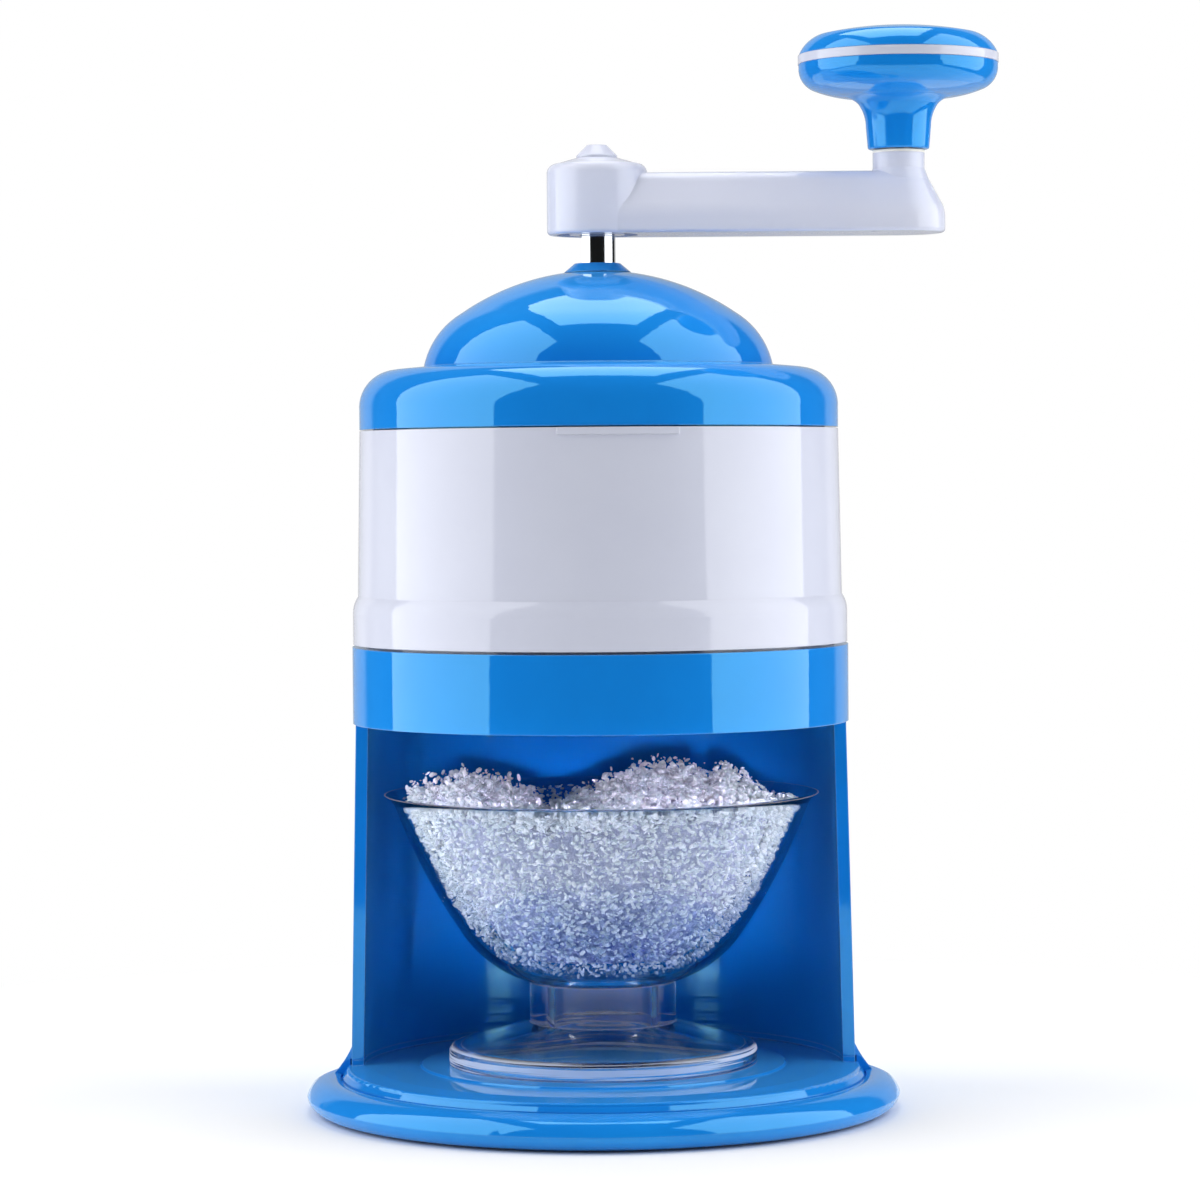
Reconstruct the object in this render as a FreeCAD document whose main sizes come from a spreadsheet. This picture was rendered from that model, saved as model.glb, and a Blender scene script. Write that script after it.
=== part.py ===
import FreeCAD, Part
import math
import os
import re
import Sketcher
from FreeCAD import Placement, Rotation, Vector

# Hand-cranked ice shaver: base, housing, ice hopper, lid, crank with press plate, blade and bowl.
# Millimetres, +Z up. The origin is where the main axis meets the surface that the base stands on.
# The bay for the bowl opens towards -Y and the crank arm points along +X.

# Driving dimensions: name, value, what it is.
SIZES = [
    # fits
    ("running_fit", 0.06, "radial play of a part that turns or slides on another"),
    ("push_fit", 0.05, "radial play of a part that is pushed or screwed home"),
    ("body_gap", 0.3, "play between mouldings that come apart by hand"),
    ("overshoot", 1, "how far a cutting shape reaches past the face it cuts"),
    # base
    ("base_radius", 70, "outside of the foot"),
    ("pad_stand", 0.5, "how far the rubber pad holds the foot off the table"),
    ("foot_edge", 3.8, "height of the foot's widest line"),
    ("foot_under", 4.2, "how far the foot draws in below its widest line"),
    ("foot_bulge", 0.95, "roll of the foot's upper side, outwards"),
    ("foot_crown", 1.62, "roll of the foot's upper side, upwards"),
    ("base_height", 10.4, "top of the plinth"),
    ("foot_flange", 10, "foot outside the edge of the plinth"),
    ("rim_slope", 5.6, "width of the plinth's sloped rim"),
    ("rim_drop", 0.4, "fall of the sloped rim"),
    ("bevel_width", 1.6, "side of the plinth above the line, radially"),
    ("bevel_drop", 1.9, "side of the plinth above the line, downwards"),
    ("rim_round", 0.8, "rounding of the plinth's rim"),
    ("line_groove", 0.5, "width and depth of the line below the bevel"),
    ("tray_margin", 7, "raised round tray beyond the bowl's foot"),
    ("tray_rise", 0.5, "height of the tray"),
    ("plate_thickness", 3, "wall between the tray and the hollow underneath"),
    ("hollow_inset", 4, "hollow under the plinth, in from the plinth's edge"),
    ("kerb_rise", 1.1, "kerb that the housing wall stands on"),
    ("cover_thickness", 2.2, "bottom cover"),
    ("cover_lift", 0.3, "how far the bottom cover lies above the foot's lower edge"),
    ("cover_screw_inset", 6, "bottom cover's screws, in from the hollow's edge"),
    ("pad_margin", 2, "rubber pad, in from the bosses of those screws"),
    ("pad_thickness", 1.6, "rubber pad"),
    ("pad_edge", 0.8, "chamfer of the rubber pad"),
    ("cover_boss_radius", 4, "bosses for the bottom cover's screws"),
    ("small_screw_radius", 1.25, "screws under the base"),
    ("small_head_radius", 2.6, "heads of those screws"),
    ("small_head_height", 1.4, "heads of those screws"),
    ("housing_screw_length", 6.9, "housing screws below the skirt's flare"),
    # housing
    ("wall", 2.9, "housing wall"),
    ("wall_setback", 0.4, "foot of the wall, in from the edge of the plinth"),
    ("wall_draft", 1.7, "how much narrower the wall is at the band than at its foot"),
    ("bay_height", 80, "height of the bay's mouth"),
    ("band_step", 0.5, "how far the band stands out from the wall"),
    ("band_height", 18, "closed band at the top of the housing"),
    ("ledge_width", 3.9, "ledge inside the band that carries the hopper"),
    ("ledge_drop", 12.7, "top of the ledge below the top of the band"),
    ("ledge_thickness", 2.2, "inner edge of the ledge"),
    ("skirt_inset", 4, "flared skirt at the back, in from the edge of the foot"),
    ("skirt_seat", 6, "height where the skirt stands on the foot"),
    ("skirt_rise", 9, "height of the skirt"),
    ("skirt_hollow", 0.5, "how hollow the skirt's flare is"),
    ("skirt_start", 2, "distance of the skirt's ends behind the bay's mouth"),
    ("housing_screw_offset", 1.8, "housing screws, out from the plinth's edge"),
    # hopper
    ("seam_gap", 0.6, "shadow line between the band and the hopper"),
    ("belt_drop", 0.2, "belt of the hopper, in from the band"),
    ("belt_height", 7.5, "belt round the foot of the hopper"),
    ("shoulder_height", 3.7, "shoulder above the belt"),
    ("shoulder_width", 1.2, "shoulder above the belt"),
    ("hopper_draft", 0.7, "how much narrower the hopper is at its rim than at the shoulder"),
    ("hopper_height", 50, "rim of the hopper above its belt's lower edge"),
    ("hopper_wall", 2.8, "hopper wall"),
    ("hopper_floor", 2.5, "hopper floor"),
    ("spigot_wall", 2.5, "ring that plugs the hopper into the housing"),
    ("floor_lift", 2.5, "underside of the floor above the end of that ring"),
    ("grip_width", 27.4, "pad under the lid, across"),
    ("grip_height", 1.7, "pad under the lid, upright"),
    ("grip_turn", 4.5, "pad under the lid, turned from the front towards the crank (degrees)"),
    ("grip_stand", 0.5, "how far that pad stands out"),
    # blade
    ("slot_start", 6, "blade slot, from the axis"),
    ("slot_margin", 4.7, "end of the blade slot, in from the hopper's wall"),
    ("slot_width", 5.5, "blade slot"),
    ("blade_overhang", 0.9, "cutting edge over the slot"),
    ("blade_width", 13, "blade"),
    ("blade_thickness", 1.2, "blade"),
    ("blade_margin", 2, "blade beyond each end of the slot"),
    ("blade_bevel", 0.9, "ground face of the cutting edge"),
    ("blade_screw_pitch", 27, "distance between the blade's screws"),
    ("blade_screw_radius", 1.5, "blade screws"),
    ("blade_drive_flats", 1.95, "hexagon socket of the blade screws, across flats"),
    ("blade_nut_height", 2.2, "nuts of the blade screws"),
    ("blade_nut_flats", 5.5, "nuts of the blade screws, across flats"),
    # lid
    ("lid_skirt", 4.6, "upright edge of the lid"),
    ("lid_shoulder", 9.4, "rounded shoulder above it"),
    ("shoulder_run", 7.8, "rounded shoulder, radially"),
    ("dome_shelf", 7.4, "width of the shelf round the dome"),
    ("shelf_rise", 0.7, "rise of the shelf towards the dome"),
    ("dome_height", 21.9, "dome"),
    ("lid_wall", 2.4, "lid wall"),
    ("lid_plug", 5.4, "ring of the lid that goes down into the hopper"),
    ("boss_radius", 11, "boss under the dome"),
    ("boss_length", 15, "boss under the dome"),
    # bush and shaft
    ("shaft_radius", 4.25, "crank shaft"),
    ("shaft_flat", 0.6, "depth of the flat along the shaft"),
    ("bush_radius", 7, "bush where it turns in the lid"),
    ("collar_foot", 7.9, "collar of the bush at the lid"),
    ("collar_top", 5.4, "collar of the bush at its top"),
    ("collar_height", 2.1, "collar of the bush"),
    ("bush_washer_thickness", 0.8, "washer below the boss"),
    ("clip_thickness", 1, "clip below that washer"),
    ("clip_groove", 0.8, "depth of the clip's groove"),
    ("clip_width", 2.4, "clip, radially"),
    # press plate
    ("plate_play", 0.9, "press plate inside the lid's ring"),
    ("press_thickness", 3, "press plate"),
    ("press_edge", 0.8, "chamfer of the press plate"),
    ("press_boss_radius", 9, "boss of the press plate"),
    ("press_boss_height", 7, "boss of the press plate"),
    ("spike_length", 5.6, "spike below the plate"),
    ("spike_radius", 1.6, "root of a spike"),
    ("spike_point", 0.32, "blunt tip of a spike"),
    ("stud_radius", 1.12, "stud that fixes a spike in the plate"),
    ("stud_length", 1.8, "stud that fixes a spike in the plate"),
    ("spike_clearance", 1.2, "tips of the spikes above the blade"),
    ("fin_height", 4.4, "fin below the plate"),
    ("fin_thickness", 2, "fin below the plate"),
    ("end_radius", 3, "threaded lower end of the shaft"),
    ("nut_height", 4.4, "nut below the plate"),
    ("nut_flats", 10, "nut across flats"),
    ("washer_thickness", 0.6, "washer above that nut"),
    # crank arm
    ("arm_clearance", 6.7, "underside of the arm above the collar"),
    ("arm_length", 71, "knob axis from the shaft axis"),
    ("arm_height", 14.4, "arm with its cover"),
    ("arm_round", 4.5, "rounding of the arm's upper edge"),
    ("arm_side", 5.4, "upright side of the arm"),
    ("arm_draft", 28, "lean of the arm's flanks above that (degrees)"),
    ("arm_foot_round", 0.9, "rounding of the arm's lower edge"),
    ("arm_waist_round", 7, "rounding where the flanks begin to lean"),
    ("arm_wall", 2.2, "arm wall"),
    ("arm_ledge", 1, "step inside the arm's side that the cover lies against"),
    ("hub_radius", 11.8, "hub"),
    ("arm_inset", 1, "arm's round end about the shaft, in from the hub"),
    ("hub_rise", 3.7, "hub above the arm"),
    ("hub_round", 2.2, "rounding of the hub's upper edge"),
    ("hub_fall", 1.4, "fall of the hub's top from the cap to that edge"),
    ("end_round", 10.9, "arm's end round the knob axis"),
    ("arm_cover_thickness", 2, "cover under the arm"),
    ("arm_cover_lip", 1.3, "thickness of the lip on the cover"),
    ("tang_width", 6, "flats of the shaft's upper end"),
    ("tang_length", 8, "flats of the shaft's upper end"),
    ("socket_depth", 1.9, "round part of the shaft inside the hub"),
    ("screw_radius", 2, "crank screw"),
    ("screw_head_radius", 3.6, "crank screw's head"),
    ("screw_head_height", 2.4, "crank screw's head"),
    ("screw_drive_flats", 3, "hexagon socket of the crank screw, across flats"),
    ("screw_length", 10, "crank screw below its washer"),
    ("crank_washer_thickness", 0.8, "washer under the crank screw"),
    ("counterbore_radius", 4.3, "pocket for the crank screw"),
    ("cap_radius", 4.8, "hub cap"),
    ("cap_top_radius", 2.3, "hub cap's flat top"),
    ("cap_height", 3, "hub cap above the hub"),
    ("cap_edge", 0.5, "upright edge of the hub cap"),
    ("cap_plug", 2.2, "hub cap inside the hub"),
    # knob
    ("post_radius", 6.1, "post under the knob"),
    ("post_height", 4.3, "post above the arm"),
    ("post_flare", 1.1, "flare of the post inside the arm's top, beyond the post"),
    ("post_flare_height", 0.7, "where that flare ends above the arm"),
    ("axle_radius", 3, "knob axle where the knob turns"),
    ("axle_thread", 2.4, "knob axle in the arm"),
    ("axle_thread_length", 12, "knob axle in the arm"),
    ("axle_head_radius", 5.5, "knob axle's head"),
    ("axle_head_height", 2.4, "knob axle's head"),
    ("knob_washer_thickness", 0.6, "washer under the knob"),
    ("knob_neck", 7.25, "neck of the knob at its lower end"),
    ("neck_edge", 0.5, "rounding of the neck's lower edge"),
    ("neck_waist", 7.65, "neck half way up"),
    ("neck_bend", 8.15, "neck where it begins to flare"),
    ("neck_bend_height", 8.3, "where the neck begins to flare, above its lower end"),
    ("neck_top", 9.3, "neck where it meets the head"),
    ("neck_height", 10.6, "neck of the knob"),
    ("knob_radius", 23.4, "knob"),
    ("bowl_of_knob", 9.4, "rounded underside of the knob above the neck"),
    ("ring_height", 2.1, "white ring"),
    ("ring_depth", 3.4, "white ring, radially"),
    ("ring_stand", 0.15, "how far the white ring stands out"),
    ("cap_rise", 6.6, "domed cap of the knob"),
    ("recess_radius", 17, "pocket under the knob's cap"),
    ("recess_floor", 17.2, "floor of that pocket above the knob's lower end"),
    ("knob_wall", 2, "wall of the knob's cap"),
    ("crown_flat", 1, "radius of the level middle of a crown"),
    # bowl
    ("bowl_play", 3.7, "rim of the bowl inside the housing wall"),
    ("bowl_height", 63.6, "bowl"),
    ("bowl_wall", 1.8, "bowl wall"),
    ("foot_radius", 36.4, "foot of the bowl"),
    ("foot_thickness", 4.6, "foot of the bowl at its edge"),
    ("foot_ring", 3.2, "ring that the bowl stands on, radially"),
    ("stem_radius", 17.3, "stem of the bowl"),
    ("stem_bore", 11.5, "hollow inside the stem"),
    ("stem_foot", 9.6, "where the stem leaves the foot"),
    ("stem_top", 19.2, "where the cup leaves the stem"),
    ("heap_rise", 6, "heap of ice above the rim"),
]

# Edges this close to a height count as lying at it.
LEVEL_TOLERANCE = 0.001

# How often identical pieces repeat, and where their first one stands (degrees).
HOUSING_SCREWS = 4
HOUSING_SCREW_FIRST = 30
HOUSING_SCREW_STEP = 40
COVER_SCREWS = 3
COVER_SCREW_FIRST = 30
PRESS_ARMS = 3

# Along the radius of the press plate, as shares of it: the spikes of one arm, and a fin's two ends.
SPIKE_PLACES = (0.42, 0.8)
FIN_START, FIN_END = 0.26, 0.9

# Points on the lid's curves: shares of the radius (of the shoulder's width for the shoulder) and of
# the rise. The boss grows out of the dome at the share of its height in BOSS_ROOT.
LID_SHOULDER = (0.74, 0.67)
DOME_SIDE = [(0.934, 0.302), (0.787, 0.568)]
DOME_CROWN = (0.53, 0.829)
DOME_INSIDE = [(0.53, 0.73), (0.76, 0.52), (0.93, 0.25)]
BOSS_ROOT = 0.845

# Points on the knob's curves: shares of its radius, and of the rise of its underside or of its cap.
KNOB_UNDERSIDE = [(0.46, 0.125), (0.55, 0.19), (0.72, 0.265), (0.88, 0.4), (0.966, 0.6), (1, 0.86)]
KNOB_CAP = [(0.935, 0.38), (0.81, 0.695), (0.42, 0.927)]

# Side of the cup: radius and height as shares of the rim's, and the slope there (degrees).
STEM_SLOPE = 16
CUP_CONTOUR = [
    (0.519, 0.104, 37),
    (0.659, 0.282, 57),
    (0.827, 0.609, 63),
    (0.945, 0.921, 68),
    (0.967, 0.966, 55),
]

# Humps of the heap: name, place across and in depth, radius (shares of the bowl's inner rim), crown.
ICE_HEAPS = [
    ("left", -0.53, 0.0, 0.42, 0.75),
    ("right", 0.40, -0.1, 0.50, 1),
    ("middle", -0.02, 0.35, 0.48, 1),
]

doc = FreeCAD.newDocument("ice_shaver")
Sizes = doc.addObject("Spreadsheet::Sheet", "Sizes")
for row, (name, number, meaning) in enumerate(SIZES, start=1):
    Sizes.set(f"A{row}", name)
    Sizes.set(f"B{row}", str(number))
    Sizes.set(f"C{row}", meaning)
    Sizes.setAlias(f"B{row}", name)
doc.recompute()
NAMES = {name for name, number, meaning in SIZES}
parts = {}


# ---- helpers -------------------------------------------------------------------------------------

def link(text):
    """The expression with every size's name pointing at the sheet."""
    return re.sub(r"[a-z_]+", lambda word: "Sizes." + word[0] if word[0] in NAMES else word[0], text)


def value(text):
    """The number that an expression gives now."""
    return float(Sizes.evalExpression(link(text)))


def keep(label, piece):
    """Name a finished sub-part after its node."""
    piece.Label = label
    parts[label] = piece
    return piece


def pin_point(sketch, geometry, end, across, up):
    """Fix one point of a sketch at two expressions."""
    for kind, text, axis in (("DistanceX", across, -2), ("DistanceY", up, -1)):
        if text == "0":
            sketch.addConstraint(Sketcher.Constraint("PointOnObject", geometry, end, axis))
        else:
            rule = Sketcher.Constraint(kind, -1, 1, geometry, end, value(text))
            sketch.setExpression(f"Constraints[{sketch.addConstraint(rule)}]", link(text))


def draw(sketch, corners):
    """Closed outline of corners (across, up); (across, up, via across, via up) arrives by an arc."""
    points = [Vector(value(corner[0]), value(corner[1]), 0) for corner in corners]
    edges = []
    for index, corner in enumerate(corners):
        start, end = points[index - 1], points[index]
        if len(corner) == 2:
            edges.append((sketch.addGeometry(Part.LineSegment(start, end)), 1, 2))
            continue
        via = Vector(value(corner[2]), value(corner[3]), 0)
        circle = Part.Arc(start, via, end).toShape().Edges[0].Curve
        turns_left = (via - start).cross(end - via).z > 0
        first, last = (start, end) if turns_left else (end, start)
        angles = [math.atan2(p.y - circle.Center.y, p.x - circle.Center.x) for p in (first, last)]
        round_edge = Part.ArcOfCircle(Part.Circle(circle.Center, Vector(0, 0, 1), circle.Radius), *angles)
        arc = sketch.addGeometry(round_edge)
        edges.append((arc, 1, 2) if turns_left else (arc, 2, 1))
        mark = sketch.addGeometry(Part.Point(via), True)
        pin_point(sketch, mark, 1, corner[2], corner[3])
        sketch.addConstraint(Sketcher.Constraint("PointOnObject", mark, 1, arc))
    for index, corner in enumerate(corners):
        edge, begin, finish = edges[index]
        following = edges[(index + 1) % len(edges)]
        sketch.addConstraint(Sketcher.Constraint("Coincident", edge, finish, following[0], following[1]))
        pin_point(sketch, edge, finish, corner[0], corner[1])


def new_sketch(body, plane, name, height="0"):
    """A sketch on one of the body's own origin planes, raised by an expression."""
    sketch = body.newObject("Sketcher::SketchObject", name)
    support = [item for item in body.Origin.OriginFeatures if item.Role == plane][0]
    sketch.AttachmentSupport = [(support, "")]
    sketch.MapMode = "FlatFace"
    if height != "0":
        sketch.setExpression("AttachmentOffset.Base.z", link(height))
    return sketch


def move(piece, across="0", depth="0", up="0"):
    """Place a piece at three expressions."""
    for axis, text in zip("xyz", (across, depth, up)):
        if text != "0":
            piece.setExpression(f"Placement.Base.{axis}", link(text))
    return piece


def turned(name, corners, at=None):
    """A body turned about a vertical axis from an outline of (radius, height) corners."""
    body = doc.addObject("PartDesign::Body", name)
    sketch = new_sketch(body, "XZ_Plane", name + "_outline")
    draw(sketch, corners)
    lathe = body.newObject("PartDesign::Revolution", name + "_turned")
    lathe.Profile = sketch
    lathe.ReferenceAxis = (sketch, ["V_Axis"])
    lathe.Angle = 360
    sketch.Visibility = False
    if at:
        move(body, across=at)
    return body


def tube(name, inner, outer, low, high, at=None):
    """A plain turned ring."""
    return turned(name, [(inner, low), (outer, low), (outer, high), (inner, high)], at)


def rod(name, radius, low, high, across="0", depth="0"):
    """A plain upright cylinder."""
    piece = doc.addObject("Part::Cylinder", name)
    piece.setExpression("Radius", link(radius))
    piece.setExpression("Height", link(f"({high}) - ({low})"))
    return move(piece, across, depth, low)


def taper(name, low_radius, high_radius, low, high, across="0", depth="0"):
    """An upright cone."""
    piece = doc.addObject("Part::Cone", name)
    piece.setExpression("Radius1", link(low_radius))
    piece.setExpression("Radius2", link(high_radius))
    piece.setExpression("Height", link(f"({high}) - ({low})"))
    return move(piece, across, depth, low)


def block(name, x_low, x_high, y_low, y_high, z_low, z_high):
    """A box between three pairs of expressions."""
    piece = doc.addObject("Part::Box", name)
    for key, low, high in (("Length", x_low, x_high), ("Width", y_low, y_high), ("Height", z_low, z_high)):
        piece.setExpression(key, link(f"({high}) - ({low})"))
    return move(piece, x_low, y_low, z_low)


def hexagon(name, flats, low, high):
    """An upright hexagonal bar."""
    piece = doc.addObject("Part::Prism", name)
    piece.Polygon = 6
    piece.setExpression("Circumradius", link(f"({flats}) / sqrt(3)"))
    piece.setExpression("Height", link(f"({high}) - ({low})"))
    return move(piece, up=low)


def boolean(kind, name, pieces):
    result = doc.addObject(kind, name)
    result.Shapes = pieces
    return result


def join(name, *pieces):
    return boolean("Part::MultiFuse", name, list(pieces))


def overlap(name, *pieces):
    return boolean("Part::MultiCommon", name, list(pieces))


def cut(name, solid, *tools):
    result = doc.addObject("Part::Cut", name)
    result.Base = solid
    result.Tool = tools[0] if len(tools) == 1 else join(name + "_tools", *tools)
    return result


def shares(point, width, rise, low, centre="0"):
    """A point given as shares of a width and a rise, as two expressions."""
    return f"{centre} + {width} * {point[0]}", f"{low} + {rise} * {point[1]}"


def group(name, pieces):
    """Identical pieces, kept as separate solids."""
    result = doc.addObject("Part::Compound", name)
    result.Links = pieces
    return result


def turn_about_axis(name, piece, degrees):
    """A piece turned about the main axis by an expression."""
    holder = doc.addObject("Part::Compound", name)
    holder.Links = [piece]
    holder.Placement = Placement(Vector(), Rotation(Vector(0, 0, 1), value(degrees)))
    holder.setExpression("Placement.Rotation.Angle", link(degrees))
    return holder


def on_circle(radius, degrees):
    """Place on a circle about the main axis, as two expressions."""
    return f"({radius}) * cos({degrees})", f"({radius}) * sin({degrees})"


def hull_outline(body, name, hub, end, height):
    """Sketch of a bar with round ends about the shaft axis and the knob axis."""
    sketch = new_sketch(body, "XY_Plane", name, height)
    big, small, reach = value(hub), value(end), value("arm_length")
    lean = math.asin((big - small) / reach)
    side = Vector(math.sin(lean), math.cos(lean), 0)
    mirrored = Vector(side.x, -side.y, 0)
    far = Vector(reach, 0, 0)
    up = Vector(0, 0, 1)
    open_angle = math.pi / 2 - lean
    left = sketch.addGeometry(Part.ArcOfCircle(Part.Circle(Vector(), up, big), open_angle, -open_angle))
    right = sketch.addGeometry(Part.ArcOfCircle(Part.Circle(far, up, small), -open_angle, open_angle))
    top = sketch.addGeometry(Part.LineSegment(side * big, far + side * small))
    bottom = sketch.addGeometry(Part.LineSegment(mirrored * big, far + mirrored * small))
    for arc, end_of_arc, line, end_of_line in ((left, 1, top, 1), (top, 2, right, 2),
                                               (right, 1, bottom, 2), (bottom, 1, left, 2)):
        sketch.addConstraint(Sketcher.Constraint("Tangent", arc, end_of_arc, line, end_of_line))
    for arc, radius, centre in ((left, hub, "0"), (right, end, "arm_length")):
        rule = sketch.addConstraint(Sketcher.Constraint("Radius", arc, value(radius)))
        sketch.setExpression(f"Constraints[{rule}]", link(radius))
        pin_point(sketch, arc, 3, centre, "0")
    sketch.Visibility = False
    return sketch


def hull(name, hub, end, low, high, waist=None):
    """A bar with round ends; above the waist its flanks lean inwards."""
    body = doc.addObject("PartDesign::Body", name)
    pad = body.newObject("PartDesign::Pad", name + "_pad")
    pad.Profile = hull_outline(body, name + "_outline", hub, end, low)
    pad.setExpression("Length", link(f"({waist or high}) - ({low})"))
    if waist:
        flanks = body.newObject("PartDesign::Pad", name + "_flanks")
        flanks.Profile = hull_outline(body, name + "_waist", hub, end, waist)
        flanks.setExpression("Length", link(f"({high}) - ({waist})"))
        flanks.setExpression("TaperAngle", link("-arm_draft"))
    return body


def round_level(body, name, level, radius):
    """Round a body's edges that lie level at one height."""
    doc.recompute()
    height = value(level)
    edges = [f"Edge{number}" for number, edge in enumerate(body.Shape.Edges, start=1)
             if max(abs(edge.BoundBox.ZMin - height), abs(edge.BoundBox.ZMax - height)) < LEVEL_TOLERANCE]
    last = body.Tip
    fillet = body.newObject("PartDesign::Fillet", name)
    fillet.Base = (last, edges)
    fillet.setExpression("Radius", link(radius))
    body.Tip = fillet


# ---- levels and radii that several pieces share ------------------------------------------------

tray_top = "base_height + tray_rise"
wall_foot = "base_height + kerb_rise"
band_low = f"{wall_foot} + bay_height"
band_high = f"{band_low} + band_height"
ledge_top = f"{band_high} - ledge_drop"
belt_low = f"{band_high} + seam_gap"
belt_high = f"{belt_low} + belt_height"
hopper_rim = f"{belt_low} + hopper_height"
spigot_end = f"{ledge_top} + body_gap"
floor_low = f"{spigot_end} + floor_lift"
floor_high = f"{floor_low} + hopper_floor"
blade_high = f"{floor_high} + blade_thickness"
lid_low = f"{hopper_rim} + body_gap"
shelf_low = f"{lid_low} + lid_skirt + lid_shoulder"
dome_low = f"{shelf_low} + shelf_rise"
dome_high = f"{dome_low} + dome_height"
boss_low = f"{dome_high} - boss_length"
collar_low = f"{dome_high} + body_gap / 3"
collar_high = f"{collar_low} + collar_height"
arm_low = f"{collar_high} + arm_clearance"
arm_seam = f"{arm_low} + arm_cover_thickness"
arm_high = f"{arm_low} + arm_height"
hub_high = f"{arm_high} + hub_rise"
post_high = f"{arm_high} + post_height"
knob_low = f"{post_high} + knob_washer_thickness + body_gap"
ring_low = f"{knob_low} + neck_height + bowl_of_knob"
ring_high = f"{ring_low} + ring_height"

cover_low = "pad_stand + cover_lift"
cover_high = f"{cover_low} + cover_thickness"

plinth_radius = "(base_radius - foot_flange)"
hollow_radius = f"({plinth_radius} - hollow_inset)"
cover_screw_circle = f"({hollow_radius} - cover_screw_inset)"
pad_radius = f"({cover_screw_circle} - cover_boss_radius - pad_margin)"
skirt_foot = "(base_radius - skirt_inset)"
housing_screw_circle = f"({plinth_radius} + housing_screw_offset)"
tray_radius = "(foot_radius + tray_margin)"
wall_foot_radius = f"{plinth_radius} - wall_setback"
wall_top_radius = f"{wall_foot_radius} - wall_draft"
band_radius = f"{wall_top_radius} + band_step"
band_bore = f"{band_radius} - wall"
belt_radius = f"{band_radius} - belt_drop"
hopper_low_radius = f"{belt_radius} - shoulder_width"
hopper_rim_radius = f"{hopper_low_radius} - hopper_draft"
hopper_bore = f"{hopper_rim_radius} - hopper_wall"
spigot_radius = f"{band_bore} - body_gap"
floor_radius = f"({spigot_radius} - spigot_wall)"
slot_length = f"({floor_radius} - slot_margin - slot_start)"
lid_bore = "bush_radius + running_fit"
plug_radius = f"{hopper_bore} - body_gap"
plate_radius = f"({plug_radius} - lid_wall - plate_play)"
dome_radius = f"({hopper_rim_radius} - shoulder_run - dome_shelf)"
bowl_radius = f"({wall_top_radius} - wall - bowl_play)"


# ---- base ----------------------------------------------------------------------------------------

def make_base():
    """Foot, plinth, tray and kerb in one moulding, hollow underneath."""
    rim = "base_height - rim_drop"
    bevel_radius = f"{plinth_radius} + bevel_width"
    bevel_low = f"{rim} - bevel_drop"
    slope_radius = f"{bevel_radius} + line_groove"
    slope_high = f"{bevel_low} - line_groove / 2"
    foot = turned("foot", [
        ("0", "pad_stand"),
        ("base_radius - foot_under", "pad_stand"),
        ("base_radius", "foot_edge", "base_radius - foot_under * (1 - sin(45))",
         "pad_stand + (foot_edge - pad_stand) * (1 - cos(45))"),
        (slope_radius, slope_high, f"(base_radius + {slope_radius}) / 2 + foot_bulge",
         f"(foot_edge + {slope_high}) / 2 + foot_crown"),
        (slope_radius, f"{slope_high} - line_groove"),
        (bevel_radius, f"{slope_high} - line_groove"),
        (bevel_radius, bevel_low),
        (f"{plinth_radius} + rim_round", f"{rim} - rim_round"),
        (plinth_radius, rim, f"{plinth_radius} + rim_round * sin(45)", f"{rim} - rim_round * (1 - cos(45))"),
        (f"{plinth_radius} - rim_slope", "base_height"),
        (tray_radius, "base_height"),
        (f"{tray_radius} - tray_rise", tray_top),
        ("0", tray_top),
    ])
    kerb_ring = tube("kerb_ring", f"{wall_foot_radius} - wall", wall_foot_radius,
                     "base_height - rim_drop * 2", wall_foot)
    back_half = block("kerb_half", "-base_radius", "base_radius", "0", "base_radius", "0", wall_foot)
    kerb = overlap("kerb", kerb_ring, back_half)
    ledge = tube("skirt_seat_ring", plinth_radius, "base_radius", "skirt_seat", "base_height")
    seat_half = block("seat_half", "-base_radius", "base_radius", "skirt_start", "base_radius", "0",
                      "base_height")
    seat = overlap("skirt_seat_cut", ledge, seat_half)
    ceiling = "base_height - plate_thickness"
    hollow = rod("base_hollow", hollow_radius, "0", ceiling)
    bosses = []
    tools = []
    for number in range(COVER_SCREWS):
        place = on_circle(cover_screw_circle, COVER_SCREW_FIRST + number * 360 / COVER_SCREWS)
        bosses.append(rod(f"cover_boss_{number}", "cover_boss_radius", cover_high,
                          f"{ceiling} + push_fit", *place))
        tools.append(rod(f"cover_pilot_{number}", "small_screw_radius", cover_high,
                         f"{ceiling} + plate_thickness / 3", *place))
    for number in range(HOUSING_SCREWS):
        place = on_circle(housing_screw_circle, HOUSING_SCREW_FIRST + number * HOUSING_SCREW_STEP)
        tools.append(rod(f"housing_hole_{number}", "small_screw_radius + push_fit", "0", "base_height",
                         *place))
        tools.append(rod(f"housing_sink_{number}", "small_head_radius + push_fit", "0",
                         "pad_stand + small_head_height", *place))
    shell = cut("base_shell", join("base_solid", foot, kerb), seat, hollow)
    keep("base_moulding", cut("base_moulding_cut", join("base_with_bosses", shell, *bosses), *tools))


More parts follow.
